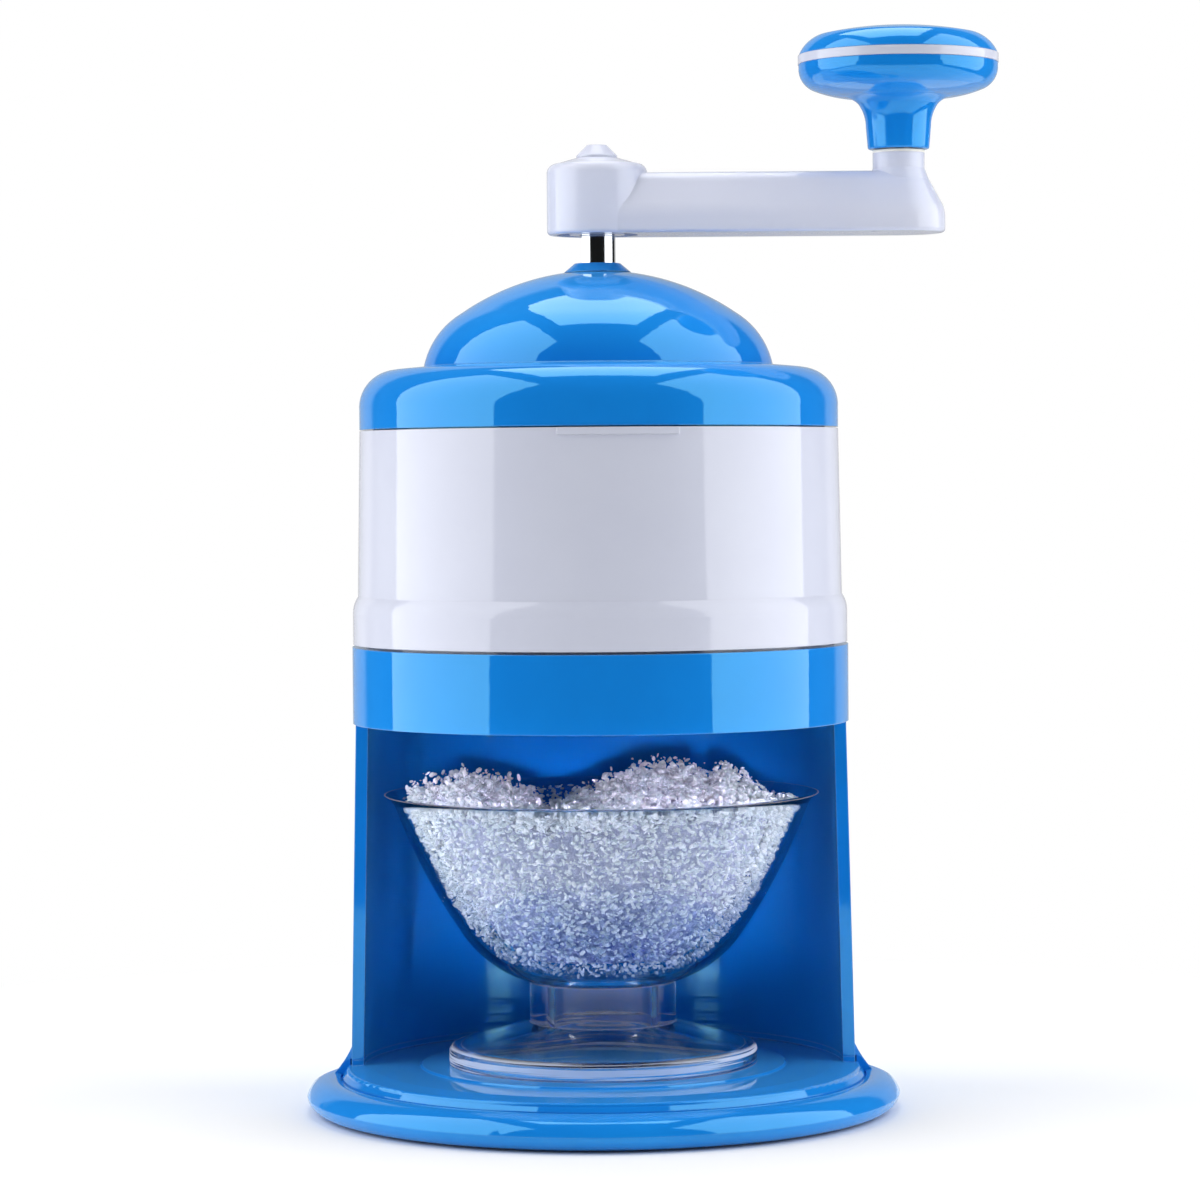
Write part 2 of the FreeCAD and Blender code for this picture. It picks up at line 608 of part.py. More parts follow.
def make_bottom():
    """Bottom cover, its screws and the rubber pad."""
    pocket = "pad_thickness"
    disc = rod("cover_disc", f"{hollow_radius} - body_gap", cover_low, cover_high)
    pad_pocket = rod("pad_pocket", f"{pad_radius} + push_fit", "0", pocket)
    holes = []
    screws = []
    head_top = f"{cover_low} + small_head_height"
    for number in range(COVER_SCREWS):
        place = on_circle(cover_screw_circle, COVER_SCREW_FIRST + number * 360 / COVER_SCREWS)
        holes.append(rod(f"cover_hole_{number}", "small_screw_radius + push_fit", "0", cover_high, *place))
        holes.append(rod(f"cover_sink_{number}", "small_head_radius + push_fit", "0", head_top, *place))
        head = rod(f"cover_head_{number}", "small_head_radius", cover_low, head_top, *place)
        shank = rod(f"cover_shank_{number}", "small_screw_radius - push_fit", head_top,
                    "base_height - plate_thickness", *place)
        screws.append(join(f"cover_screw_{number}", head, shank))
    keep("bottom_cover", cut("bottom_cover_cut", disc, pad_pocket, *holes))
    keep("cover_screws", group("cover_screw_set", screws))
    keep("non_slip_pad", turned("pad", [
        ("0", "0"),
        (f"{pad_radius} - pad_edge", "0"),
        (pad_radius, "pad_edge"),
        (pad_radius, pocket),
        ("0", pocket),
    ]))


# ---- housing -------------------------------------------------------------------------------------

def make_housing():
    """C-shaped wall with the closed band, the hopper's ledge and the flared skirt."""
    wall_body = turned("housing_wall", [
        (wall_foot_radius, wall_foot),
        (wall_top_radius, band_low),
        (band_radius, band_low),
        (band_radius, band_high),
        (band_bore, band_high),
        (band_bore, ledge_top),
        (f"{band_bore} - ledge_width", ledge_top),
        (f"{band_bore} - ledge_width", f"{ledge_top} - ledge_thickness"),
        (f"{wall_top_radius} - wall", band_low),
        (f"{wall_foot_radius} - wall", wall_foot),
    ])
    mouth = block("bay_mouth", "-2 * base_radius", "2 * base_radius", "-2 * base_radius", "0", "0", band_low)
    skirt_high = "skirt_seat + skirt_rise"
    skirt_inner = f"{plinth_radius} + push_fit"
    skirt_ring = turned("skirt_ring", [
        (skirt_inner, "skirt_seat"),
        (skirt_foot, "skirt_seat"),
        (f"{wall_foot_radius} - wall_setback / 2", skirt_high,
         f"({skirt_foot} + {wall_foot_radius}) / 2 - skirt_hollow",
         f"(skirt_seat + {skirt_high}) / 2 - skirt_hollow"),
        (f"{wall_foot_radius} - wall / 2", skirt_high),
        (f"{wall_foot_radius} - wall / 2", wall_foot),
        (skirt_inner, wall_foot),
    ])
    skirt_half = block("skirt_half", "-base_radius", "base_radius", "skirt_start", "base_radius", "0",
                       skirt_high)
    skirt = overlap("skirt", skirt_ring, skirt_half)
    pilots = []
    screws = []
    head_top = "pad_stand + small_head_height"
    tip = f"{head_top} + housing_screw_length"
    for number in range(HOUSING_SCREWS):
        place = on_circle(housing_screw_circle, HOUSING_SCREW_FIRST + number * HOUSING_SCREW_STEP)
        pilots.append(rod(f"housing_pilot_{number}", "small_screw_radius", "0", f"{tip} + push_fit", *place))
        head = rod(f"housing_head_{number}", "small_head_radius", "pad_stand", head_top, *place)
        shank = rod(f"housing_shank_{number}", "small_screw_radius - push_fit", head_top, tip, *place)
        screws.append(join(f"housing_screw_{number}", head, shank))
    keep("housing", cut("housing_cut", join("housing_solid", cut("housing_shell", wall_body, mouth), skirt),
                        *pilots))
    keep("housing_screws", group("housing_screw_set", screws))


# ---- hopper and blade ----------------------------------------------------------------------------

blade_start = "slot_start - blade_margin"
blade_end = f"slot_start + {slot_length} + blade_margin"
blade_middle = f"slot_start + {slot_length} / 2"
blade_edge = "blade_overhang - blade_width / 2"
slot_near = f"{blade_edge} - slot_width + blade_overhang"


def blade_screw_places():
    """The two screws of the blade, as pairs of expressions."""
    return [(f"{blade_middle} {sign} blade_screw_pitch / 2", "0") for sign in "-+"]


def make_hopper():
    """Ice cup with belt, floor and the ring that plugs into the housing."""
    shoulder_high = f"{belt_high} + shoulder_height"
    cup = turned("hopper_cup", [
        (belt_radius, belt_low),
        (belt_radius, belt_high),
        (hopper_low_radius, shoulder_high, f"{belt_radius} - shoulder_width / 4",
         f"{belt_high} + shoulder_height / 2"),
        (hopper_rim_radius, hopper_rim),
        (hopper_bore, hopper_rim),
        (floor_radius, floor_high),
        ("0", floor_high),
        ("0", floor_low),
        (floor_radius, floor_low),
        (floor_radius, spigot_end),
        (spigot_radius, spigot_end),
        (spigot_radius, belt_low),
    ])
    grip_ring = tube("grip_ring", f"{hopper_rim_radius} - hopper_wall / 2",
                     f"{hopper_rim_radius} + grip_stand", f"{hopper_rim} - grip_height", hopper_rim)
    grip_block = block("grip_block", "-grip_width / 2", "grip_width / 2", "-base_radius", "0", "0",
                       hopper_rim)
    grip = turn_about_axis("grip", overlap("grip_ahead", grip_ring, grip_block), "grip_turn")
    slot = block("blade_slot", "slot_start", f"slot_start + {slot_length}", slot_near,
                 f"{slot_near} + slot_width", "0", hopper_rim)
    holes = [rod(f"blade_floor_hole_{number}", "blade_screw_radius + push_fit", "0", hopper_rim, *place)
             for number, place in enumerate(blade_screw_places())]
    keep("hopper", cut("hopper_cut", join("hopper_solid", cup, grip), slot, *holes))


def make_blade():
    """Ground steel blade, its two countersunk screws and their nuts."""
    bar = block("blade_bar", blade_start, blade_end, blade_edge, f"{blade_edge} + blade_width", floor_high,
                blade_high)
    body = doc.addObject("PartDesign::Body", "blade_grind")
    sketch = new_sketch(body, "YZ_Plane", "grind_outline")
    draw(sketch, [(blade_edge, f"{floor_high} + blade_thickness / 4"),
                  (f"{blade_edge} + 2 * blade_bevel", blade_high),
                  (f"{blade_edge} + 2 * blade_bevel", f"{blade_high} + overshoot"),
                  (f"{blade_edge} - overshoot", f"{blade_high} + overshoot"),
                  (f"{blade_edge} - overshoot", f"{floor_high} + blade_thickness / 4")])
    pad = body.newObject("PartDesign::Pad", "grind_pad")
    pad.Profile = sketch
    pad.setExpression("Length", link("2 * base_radius"))
    pad.Midplane = True
    sketch.Visibility = False
    tools = [body]
    screws = []
    nuts = []
    nut_high = f"{floor_low} - push_fit"
    nut_low = f"{nut_high} - blade_nut_height"
    for number, place in enumerate(blade_screw_places()):
        sink_low = f"{blade_high} - blade_thickness"
        tools.append(taper(f"blade_sink_{number}", "blade_screw_radius + push_fit",
                           "blade_screw_radius + blade_thickness + push_fit", sink_low, blade_high, *place))
        tools.append(rod(f"blade_hole_{number}", "blade_screw_radius + push_fit", "0", blade_high, *place))
        head = taper(f"blade_screw_head_{number}", "blade_screw_radius",
                     "blade_screw_radius + blade_thickness", sink_low, blade_high, *place)
        shank = rod(f"blade_screw_shank_{number}", "blade_screw_radius", nut_low, blade_high, *place)
        drive = hexagon(f"blade_screw_drive_{number}", "blade_drive_flats",
                        f"{blade_high} - blade_thickness / 2", f"{blade_high} + overshoot")
        move(drive, *place)
        screws.append(cut(f"blade_screw_{number}", join(f"blade_screw_blank_{number}", head, shank), drive))
        bar_of_nut = hexagon(f"blade_nut_bar_{number}", "blade_nut_flats", nut_low, nut_high)
        move(bar_of_nut, *place)
        bore = rod(f"blade_nut_bore_{number}", "blade_screw_radius + push_fit", "0", nut_high, *place)
        nuts.append(cut(f"blade_nut_{number}", bar_of_nut, bore))
    keep("blade", cut("blade_cut", bar, *tools))
    keep("blade_screws", group("blade_screw_set", screws))
    keep("blade_nuts", group("blade_nut_set", nuts))


# ---- lid and bush --------------------------------------------------------------------------------

def make_lid():
    """Stepped dome with the boss for the bush and the ring that plugs into the hopper."""
    skirt_high = f"{lid_low} + lid_skirt"
    shelf_radius = f"{dome_radius} + dome_shelf"
    shoulder_width = f"({hopper_rim_radius} - ({shelf_radius}))"
    dome_inner = f"({dome_radius} - lid_wall)"
    ring_bore = f"{plug_radius} - lid_wall"
    keep("lid", turned("lid_shell", [
        (hopper_rim_radius, lid_low),
        (hopper_rim_radius, skirt_high),
        (shelf_radius, shelf_low,
         *shares(LID_SHOULDER, shoulder_width, "lid_shoulder", skirt_high, shelf_radius)),
        (dome_radius, dome_low),
        (*shares(DOME_SIDE[1], dome_radius, "dome_height", dome_low),
         *shares(DOME_SIDE[0], dome_radius, "dome_height", dome_low)),
        ("collar_foot", dome_high, *shares(DOME_CROWN, dome_radius, "dome_height", dome_low)),
        (lid_bore, dome_high),
        (lid_bore, boss_low),
        ("boss_radius", boss_low),
        ("boss_radius", f"{dome_low} + dome_height * {BOSS_ROOT}"),
        (*shares(DOME_INSIDE[1], dome_inner, "dome_height", dome_low),
         *shares(DOME_INSIDE[0], dome_inner, "dome_height", dome_low)),
        (dome_inner, f"{dome_low} - lid_wall", *shares(DOME_INSIDE[2], dome_inner, "dome_height", dome_low)),
        (shelf_radius, f"{shelf_low} - lid_wall"),
        (ring_bore, skirt_high),
        (ring_bore, f"{lid_low} - lid_plug"),
        (plug_radius, f"{lid_low} - lid_plug"),
        (plug_radius, lid_low),
    ]))


def shaft_section(name, radius, flat, low, high):
    """A round bar with one flat towards -X."""
    bar = rod(name + "_bar", radius, low, high)
    side = block(name + "_side", f"-({flat})", "2 * shaft_radius", "-2 * shaft_radius", "2 * shaft_radius",
                 low, high)
    return overlap(name, bar, side)


flat_depth = "shaft_radius - shaft_flat"
washer_high = f"{boss_low} - body_gap"
washer_low = f"{washer_high} - bush_washer_thickness"
clip_low = f"{washer_low} - clip_thickness"
clip_seat = "bush_radius - clip_groove"


def make_bush():
    """Bush that turns in the lid, with the washer and the clip that keep it there."""
    blank = turned("bush_blank", [
        ("0", f"{clip_low} - clip_thickness"),
        ("bush_radius", f"{clip_low} - clip_thickness"),
        ("bush_radius", clip_low),
        (clip_seat, clip_low),
        (clip_seat, washer_low),
        ("bush_radius", washer_low),
        ("bush_radius", collar_low),
        ("collar_foot", collar_low),
        ("collar_top", collar_high),
        ("0", collar_high),
    ])
    bore = shaft_section("bush_bore", "shaft_radius + running_fit", f"{flat_depth} + running_fit",
                         f"{boss_low} - boss_length", f"{collar_high} + overshoot")
    keep("shaft_bush", cut("bush", blank, bore))
    keep("bush_washer", tube("bush_washer_ring", "bush_radius + running_fit", "bush_radius + clip_width",
                             washer_low, washer_high))
    ring = tube("clip_ring", f"{clip_seat} + push_fit / 2", f"{clip_seat} + clip_width",
                f"{clip_low} + push_fit", f"{washer_low} - push_fit")
    mouth = block("clip_mouth", "0", "2 * bush_radius", "-bush_radius / 3", "bush_radius / 3", "0",
                  washer_low)
    keep("bush_clip", cut("clip", ring, mouth))


# ---- shaft and press plate ------------------------------------------------------------------------

spike_tip = f"{blade_high} + spike_clearance"
press_low = f"{spike_tip} + spike_length"
press_high = f"{press_low} + press_thickness"
press_boss_high = f"{press_high} + press_boss_height"
plate_washer_low = f"{press_low} - washer_thickness"
plate_nut_low = f"{plate_washer_low} - nut_height"
tang_low = f"{arm_seam} + socket_depth"
tang_high = f"{tang_low} + tang_length"


def double_flat(name, radius, width, low, high):
    """A round bar with two flats."""
    bar = rod(name + "_bar", radius, low, high)
    sides = block(name + "_sides", "-2 * shaft_radius", "2 * shaft_radius", f"-({width}) / 2",
                  f"({width}) / 2", low, high)
    return overlap(name, bar, sides)


def make_shaft():
    """Crank shaft: threaded end, long round part with a flat, and the flats that drive it."""
    main = shaft_section("shaft_main", "shaft_radius", flat_depth, press_boss_high, tang_low)
    end = rod("shaft_end", "end_radius", plate_nut_low, press_boss_high)
    tang = double_flat("shaft_tang", "shaft_radius - shaft_flat / 2", "tang_width", tang_low, tang_high)
    thread = rod("shaft_thread", "screw_radius", f"{tang_high} - screw_length - overshoot", tang_high)
    keep("shaft", cut("shaft_cut", join("shaft_solid", main, end, tang), thread))


def make_press_plate():
    """Plate that presses the ice down, with fins and spikes that carry it round."""
    disc = turned("press_disc", [
        ("end_radius + push_fit", press_low),
        (f"{plate_radius} - press_edge", press_low),
        (plate_radius, f"{press_low} + press_edge"),
        (plate_radius, press_high),
        ("press_boss_radius", press_high),
        ("press_boss_radius", press_boss_high),
        ("end_radius + push_fit", press_boss_high),
    ])
    fins = []
    studs = []
    spikes = []
    for arm in range(PRESS_ARMS):
        turn = arm * 360 / PRESS_ARMS
        fin = block(f"fin_{arm}", f"{plate_radius} * {FIN_START}", f"{plate_radius} * {FIN_END}",
                    "-fin_thickness / 2", "fin_thickness / 2", f"{press_low} - fin_height", press_high)
        fins.append(turn_about_axis(f"fin_turned_{arm}", fin, str(turn)))
        for step, share in enumerate(SPIKE_PLACES):
            place = on_circle(f"{plate_radius} * {share}", turn + 180 / PRESS_ARMS)
            name = f"{arm}_{step}"
            stud_high = f"{press_low} + stud_length"
            studs.append(rod(f"stud_hole_{name}", "stud_radius + push_fit", press_low, stud_high, *place))
            point = taper(f"spike_point_{name}", "spike_point", "spike_radius", spike_tip, press_low, *place)
            stud = rod(f"spike_stud_{name}", "stud_radius", press_low, f"{stud_high} - push_fit", *place)
            spikes.append(join(f"spike_{name}", point, stud))
    keep("press_plate", cut("press_plate_cut", join("press_plate_solid", disc, *fins), *studs))
    keep("press_spikes", group("spike_set", spikes))
    keep("plate_washer", tube("plate_washer_ring", "end_radius + push_fit", "end_radius * 2",
                              plate_washer_low, press_low))
    bar = hexagon("plate_nut_bar", "nut_flats", plate_nut_low, plate_washer_low)
    bore = rod("plate_nut_bore", "end_radius + push_fit", plate_nut_low, plate_washer_low)
    keep("plate_nut", cut("plate_nut_cut", bar, bore))


# ---- crank arm -----------------------------------------------------------------------------------

def make_arm():
    """Moulded arm with hub and knob post, hollow from below, and the cover that lies inside its walls."""
    waist = f"{arm_low} + arm_side"
    arm_foot = "(hub_radius - arm_inset)"
    outside = hull("arm_outside", arm_foot, "end_round", arm_low, arm_high, waist)
    round_level(outside, "arm_rounding", arm_high, "arm_round")
    round_level(outside, "arm_waist_rounding", waist, "arm_waist_round")
    round_level(outside, "arm_foot_rounding", arm_low, "arm_foot_round")
    hub_edge = f"{hub_high} - hub_fall"
    hub = turned("hub", [
        ("0", arm_low),
        ("hub_radius - arm_foot_round", arm_low),
        ("hub_radius", f"{arm_low} + arm_foot_round", "hub_radius - arm_foot_round * (1 - sin(45))",
         f"{arm_low} + arm_foot_round * (1 - cos(45))"),
        ("hub_radius", f"{hub_edge} - hub_round"),
        ("hub_radius - hub_round", hub_edge, "hub_radius - hub_round * (1 - cos(45))",
         f"{hub_edge} - hub_round * (1 - sin(45))"),
        ("cap_radius", hub_high),
        ("0", hub_high),
    ])
    post = turned("post", [
        ("0", f"{arm_high} - arm_wall"),
        ("post_radius + post_flare", f"{arm_high} - arm_wall"),
        ("post_radius", f"{arm_high} + post_flare_height"),
        ("post_radius", post_high),
        ("0", post_high),
    ], at="arm_length")
    hollow_high = f"{arm_high} - arm_wall"
    seat = hull("arm_seat", f"{arm_foot} - arm_wall + arm_ledge", "end_round - arm_wall + arm_ledge",
                arm_low, arm_seam)
    hollow = hull("arm_hollow", f"{arm_foot} - arm_wall", "end_round - arm_wall", arm_seam, hollow_high,
                  waist)
    hub_room = rod("hub_room", "hub_radius", arm_low, hollow_high)
    post_core = rod("post_core", "axle_thread + arm_wall", arm_seam, hollow_high, "arm_length")
    cavity = cut("arm_cavity", join("arm_room", seat, hollow), hub_room, post_core)
    hub_hollow = tube("hub_hollow", "shaft_radius + arm_wall", "hub_radius - arm_wall", arm_low, hollow_high)
    socket = rod("shaft_socket", "shaft_radius + push_fit", arm_low, tang_low)
    drive = double_flat("drive_socket", "shaft_radius - shaft_flat / 2 + push_fit",
                        "tang_width + 2 * push_fit", tang_low, tang_high)
    pocket = rod("screw_pocket", "counterbore_radius", tang_high, hub_high)
    axle_hole = rod("axle_hole", "axle_thread + push_fit", arm_seam, post_high, "arm_length")
    solid = join("arm_solid", outside, hub, post)
    keep("crank_arm", cut("crank_arm_cut", solid, cavity, hub_hollow, socket, drive, pocket, axle_hole))
    plate_inset = "(arm_wall - arm_ledge + push_fit)"
    plate = hull("arm_cover_plate", f"{arm_foot} - {plate_inset}", f"end_round - {plate_inset}", arm_low,
                 arm_seam)
    lip_inset = "(arm_wall + push_fit)"
    lip_high = f"{arm_seam} + arm_cover_thickness"
    lip_out = hull("arm_cover_lip_outside", f"{arm_foot} - {lip_inset}", f"end_round - {lip_inset}",
                   arm_seam, lip_high)
    lip_in = hull("arm_cover_lip_inside", f"{arm_foot} - {lip_inset} - arm_cover_lip",
                  f"end_round - {lip_inset} - arm_cover_lip", arm_seam, lip_high)
    lip = cut("arm_cover_lip_ring", lip_out, lip_in)
    room = rod("cover_hub_room", "hub_radius + push_fit", arm_low, lip_high)
    keep("crank_arm_cover", cut("arm_cover_cut", join("arm_cover_solid", plate, lip), room))


def make_crank_screw():
    """Screw and washer on the shaft's end, and the button that hides them."""
    washer_top = f"{tang_high} + crank_washer_thickness"
    head_top = f"{washer_top} + screw_head_height"
    keep("crank_washer", tube("crank_washer_ring", "screw_radius + push_fit",
                              "counterbore_radius - push_fit", tang_high, washer_top))
    head = rod("crank_screw_head", "screw_head_radius", washer_top, head_top)
    shank = rod("crank_screw_shank", "screw_radius - push_fit", f"{washer_top} - screw_length", washer_top)
    drive = hexagon("crank_screw_drive", "screw_drive_flats", f"{washer_top} + screw_head_height / 3",
                    head_top)
    keep("crank_screw", cut("crank_screw_cut", join("crank_screw_solid", head, shank), drive))
    keep("hub_cap", turned("hub_cap_solid", [
        ("0", f"{hub_high} - cap_plug"),
        ("counterbore_radius - push_fit", f"{hub_high} - cap_plug"),
        ("counterbore_radius - push_fit", hub_high),
        ("cap_radius", hub_high),
        ("cap_radius", f"{hub_high} + cap_edge"),
        ("cap_top_radius", f"{hub_high} + cap_height"),
        ("0", f"{hub_high} + cap_height"),
    ]))


# ---- knob ----------------------------------------------------------------------------------------

def make_knob():
    """Knob of three mouldings that turns on a shouldered axle."""
    floor = f"{knob_low} + recess_floor"
    head_low = f"{floor} + body_gap"
    washer_top = f"{post_high} + knob_washer_thickness"
    neck_high = f"{knob_low} + neck_height"
    shelf = "knob_radius - ring_depth"
    keep("knob_washer", tube("knob_washer_ring", "axle_radius + push_fit", "post_radius", post_high,
                             washer_top, at="arm_length"))
    keep("knob_axle", turned("knob_axle_solid", [
        ("0", f"{post_high} - axle_thread_length"),
        ("axle_thread", f"{post_high} - axle_thread_length"),
        ("axle_thread", post_high),
        ("axle_radius", post_high),
        ("axle_radius", head_low),
        ("axle_head_radius", head_low),
        ("axle_head_radius", f"{head_low} + axle_head_height"),
        ("0", f"{head_low} + axle_head_height"),
    ], at="arm_length"))
    bore = "axle_radius + running_fit"
    under = [shares(point, "knob_radius", "bowl_of_knob", neck_high) for point in KNOB_UNDERSIDE]
    keep("knob_body", turned("knob_body_solid", [
        (bore, knob_low),
        ("knob_neck - neck_edge", knob_low),
        ("knob_neck", f"{knob_low} + neck_edge", "knob_neck - neck_edge * (1 - sin(45))",
         f"{knob_low} + neck_edge * (1 - cos(45))"),
        ("neck_waist", f"{knob_low} + neck_height / 2"),
        ("neck_top", neck_high, "neck_bend", f"{knob_low} + neck_bend_height"),
        (*under[1], *under[0]),
        (*under[3], *under[2]),
        (*under[5], *under[4]),
        ("knob_radius", ring_low),
        (shelf, ring_low),
        (shelf, ring_high),
        ("recess_radius", ring_high),
        ("recess_radius", floor),
        (bore, floor),
    ], at="arm_length"))
    keep("knob_ring", tube("knob_ring_solid", f"{shelf} + push_fit", "knob_radius + ring_stand", ring_low,
                           ring_high, at="arm_length"))
    plug = "recess_radius - push_fit"
    cap = [shares(point, "knob_radius", "cap_rise", ring_high) for point in KNOB_CAP]
    keep("knob_cap", turned("knob_cap_solid", [
        ("crown_flat", f"{ring_high} + cap_rise", *cap[2]),
        ("0", f"{ring_high} + cap_rise"),
        ("0", f"{ring_high} + cap_rise - knob_wall"),
        (f"{plug} - knob_wall", f"{ring_high} + cap_rise - 2 * knob_wall"),
        (f"{plug} - knob_wall", f"{ring_high} - knob_wall"),
        (plug, f"{ring_high} - knob_wall"),
        (plug, ring_high),
        ("knob_radius", ring_high),
        (*cap[1], *cap[0]),
    ], at="arm_length"))


# ---- bowl and ice --------------------------------------------------------------------------------

def cup_side(inset):
    """Side of the cup from the stem to its lip, as corners and the points their arcs pass through."""
    stem_high = f"{tray_top} + stem_top"
    cup_rise = "(bowl_height - stem_top)"
    points = [(f"stem_radius - {inset} * sin({STEM_SLOPE})", f"{stem_high} + {inset} * cos({STEM_SLOPE})")]
    for across, up, slope in CUP_CONTOUR:
        points.append((f"{bowl_radius} * {across} - {inset} * sin({slope})",
                       f"{stem_high} + {cup_rise} * {up} + {inset} * cos({slope})"))
    stem, belly, middle, flank, shoulder, lip = points
    return [stem, (*middle, *belly), (*shoulder, *flank)], lip


def make_bowl():
    """Footed bowl with a hollow stem, and the heap of shaved ice in it."""
    rim = f"{tray_top} + bowl_height"
    foot_high = f"{tray_top} + foot_thickness"
    stem_low = f"{tray_top} + stem_foot"
    outside, outside_lip = cup_side("0")
    inside, inside_lip = cup_side("bowl_wall")
    belly, middle, shoulder = inside
    inner_rim = f"({bowl_radius} - bowl_wall)"
    keep("bowl", turned("bowl_solid", [
        ("foot_radius - foot_ring", tray_top),
        ("foot_radius", tray_top),
        ("foot_radius", f"{foot_high} - bowl_wall"),
        ("foot_radius - bowl_wall", foot_high, "foot_radius - bowl_wall * (1 - cos(45))",
         f"{foot_high} - bowl_wall * (1 - sin(45))"),
        ("stem_radius", stem_low),
        *outside,
        (bowl_radius, rim, *outside_lip),
        (inner_rim, rim),
        (shoulder[0], shoulder[1], *inside_lip),
        (middle[0], middle[1], shoulder[2], shoulder[3]),
        (belly[0], belly[1], middle[2], middle[3]),
        ("0", belly[1]),
        ("0", f"{belly[1]} - bowl_wall"),
        ("stem_bore", f"{belly[1]} - bowl_wall"),
        ("stem_bore", f"{stem_low} - bowl_wall"),
        ("foot_radius - foot_ring", f"{foot_high} - bowl_wall"),
    ]))
    flanks, _ = cup_side("(bowl_wall + body_gap)")
    low = flanks[0][1]
    edge = flanks[2][0]
    core = turned("ice_core", [
        ("0", low),
        *flanks,
        (f"{inner_rim} / 3", f"{rim} + heap_rise / 2", f"{inner_rim} * 0.7", f"{rim} + heap_rise / 3"),
        ("0", f"{rim} + heap_rise / 2"),
    ])
    high = f"{rim} + 2 * heap_rise"
    room = turned("ice_room", [("0", low), *flanks, (edge, high), ("0", high)])
    heaps = []
    for name, across, depth, size, crown in ICE_HEAPS:
        ball = doc.addObject("Part::Sphere", f"ice_{name}")
        ball.setExpression("Radius", link(f"{inner_rim} * {size}"))
        top = f"{rim} + heap_rise * {crown}"
        heaps.append(move(ball, f"{inner_rim} * {across}", f"{inner_rim} * {depth}",
                          f"{top} - {inner_rim} * {size}"))
    humps = overlap("ice_humps", join("ice_balls", *heaps), room)
    keep("shaved_ice", join("ice_heap", core, humps))


def write_parts():
    """Check every object and write each sub-part to its own file."""
    doc.recompute()
    for item in doc.Objects:
        if "Invalid" in item.State or "Error" in item.State:
            raise RuntimeError(f"{item.Name} ({item.Label}) did not rebuild: {item.State}")
    for label, piece in parts.items():
        if piece.Shape.isNull() or not piece.Shape.isValid() or not piece.Shape.Solids:
            raise RuntimeError(f"{label} is not a valid solid")
    os.makedirs("parts", exist_ok=True)
    for label, piece in parts.items():
        piece.Shape.exportStep(f"parts/{label}.step")
        solids = piece.Shape.Solids
        print(f"{label:18} {len(solids)} solid(s) {sum(solid.Volume for solid in solids):10.1f} mm3")


make_base()
make_bottom()
make_housing()
make_hopper()
make_blade()
make_lid()
make_bush()
make_shaft()
make_press_plate()
make_arm()
make_crank_screw()
make_knob()
make_bowl()
write_parts()
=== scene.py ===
# %% [markdown]
# # A hand-cranked ice shaver
# The shaver arrives as a finished set of CAD pieces: foot, housing, hopper, lid, crank and bowl.
# This lesson gives each piece its finish, models the heap of shaved ice, whose looks need more
# than a CAD solid has, and sets up the studio. Everything is in metres, with +Z up and the bowl
# bay opening towards -Y. Only the heap is shaped in millimetres and scaled at the end.

# %% Load the frame
import math
import random

import bmesh
import bpy
from mathutils import Matrix, Vector, noise


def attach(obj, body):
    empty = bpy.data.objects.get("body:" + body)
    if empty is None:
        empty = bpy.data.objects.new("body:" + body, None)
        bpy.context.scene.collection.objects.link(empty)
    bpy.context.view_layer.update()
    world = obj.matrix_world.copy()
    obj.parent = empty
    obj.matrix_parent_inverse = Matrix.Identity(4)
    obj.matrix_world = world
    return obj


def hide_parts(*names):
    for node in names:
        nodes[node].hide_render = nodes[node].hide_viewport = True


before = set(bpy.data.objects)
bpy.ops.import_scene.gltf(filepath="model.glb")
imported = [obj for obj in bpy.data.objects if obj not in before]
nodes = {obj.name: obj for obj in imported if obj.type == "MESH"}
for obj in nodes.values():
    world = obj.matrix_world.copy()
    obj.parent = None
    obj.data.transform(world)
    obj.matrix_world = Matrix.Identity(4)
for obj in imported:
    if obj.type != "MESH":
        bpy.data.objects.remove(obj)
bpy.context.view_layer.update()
print("pieces in the frame:", len(nodes))

# %% [markdown]
# ## The camera
# The shaver is seen from straight in front, a little above the height of the bowl, through a
# long lens that keeps the upright sides almost parallel. The camera tips down by under two
# degrees and leans by under half a degree, as a camera held by hand does.

# %% Camera
CAMERA_DISTANCE = 0.9584
CAMERA_HEIGHT = 0.1481
CAMERA_TILT = math.radians(1.68)
CAMERA_LEAN = math.radians(0.43)
LENS_MM = 121.9
SENSOR_MM = 36
CLIP_START = 0.05

camera_data = bpy.data.cameras.new("camera")
camera_data.lens = LENS_MM
camera_data.sensor_width = SENSOR_MM
camera_data.clip_start = CLIP_START
camera = bpy.data.objects.new("camera", camera_data)
bpy.context.scene.collection.objects.link(camera)
camera.matrix_world = (Matrix.Translation((0, -CAMERA_DISTANCE, CAMERA_HEIGHT))
                       @ Matrix.Rotation(math.pi / 2 - CAMERA_TILT, 4, "X")
                       @ Matrix.Rotation(-CAMERA_LEAN, 4, "Z"))
bpy.context.scene.camera = camera
bpy.context.scene.view_settings.view_transform = "Standard"
print("lens", LENS_MM, "mm")

# %% [markdown]
# ## The studio
# Glossy plastic shows its surroundings, so the studio is part of the finish. Two soft boxes stand
# to the left and right and draw the broad upright highlights with crisp edges on the hopper. They
# lean over a little, as boxes on stands do. A third hangs overhead for the lid and the knob.

# %% Soft boxes
BOX_REACH, BOX_DEPTH, BOX_HEIGHT, BOX_AIM = 0.75, -0.22, 0.56, 0.33
SIDE_BOX, SIDE_POWER = (1.05, 1.5), 11.2
TOP_PLACE, TOP_TARGET = (0, 0.26, 1.15), (0, 0.05, 0.15)
TOP_BOX, TOP_POWER = (0.62, 0.82), 4.6


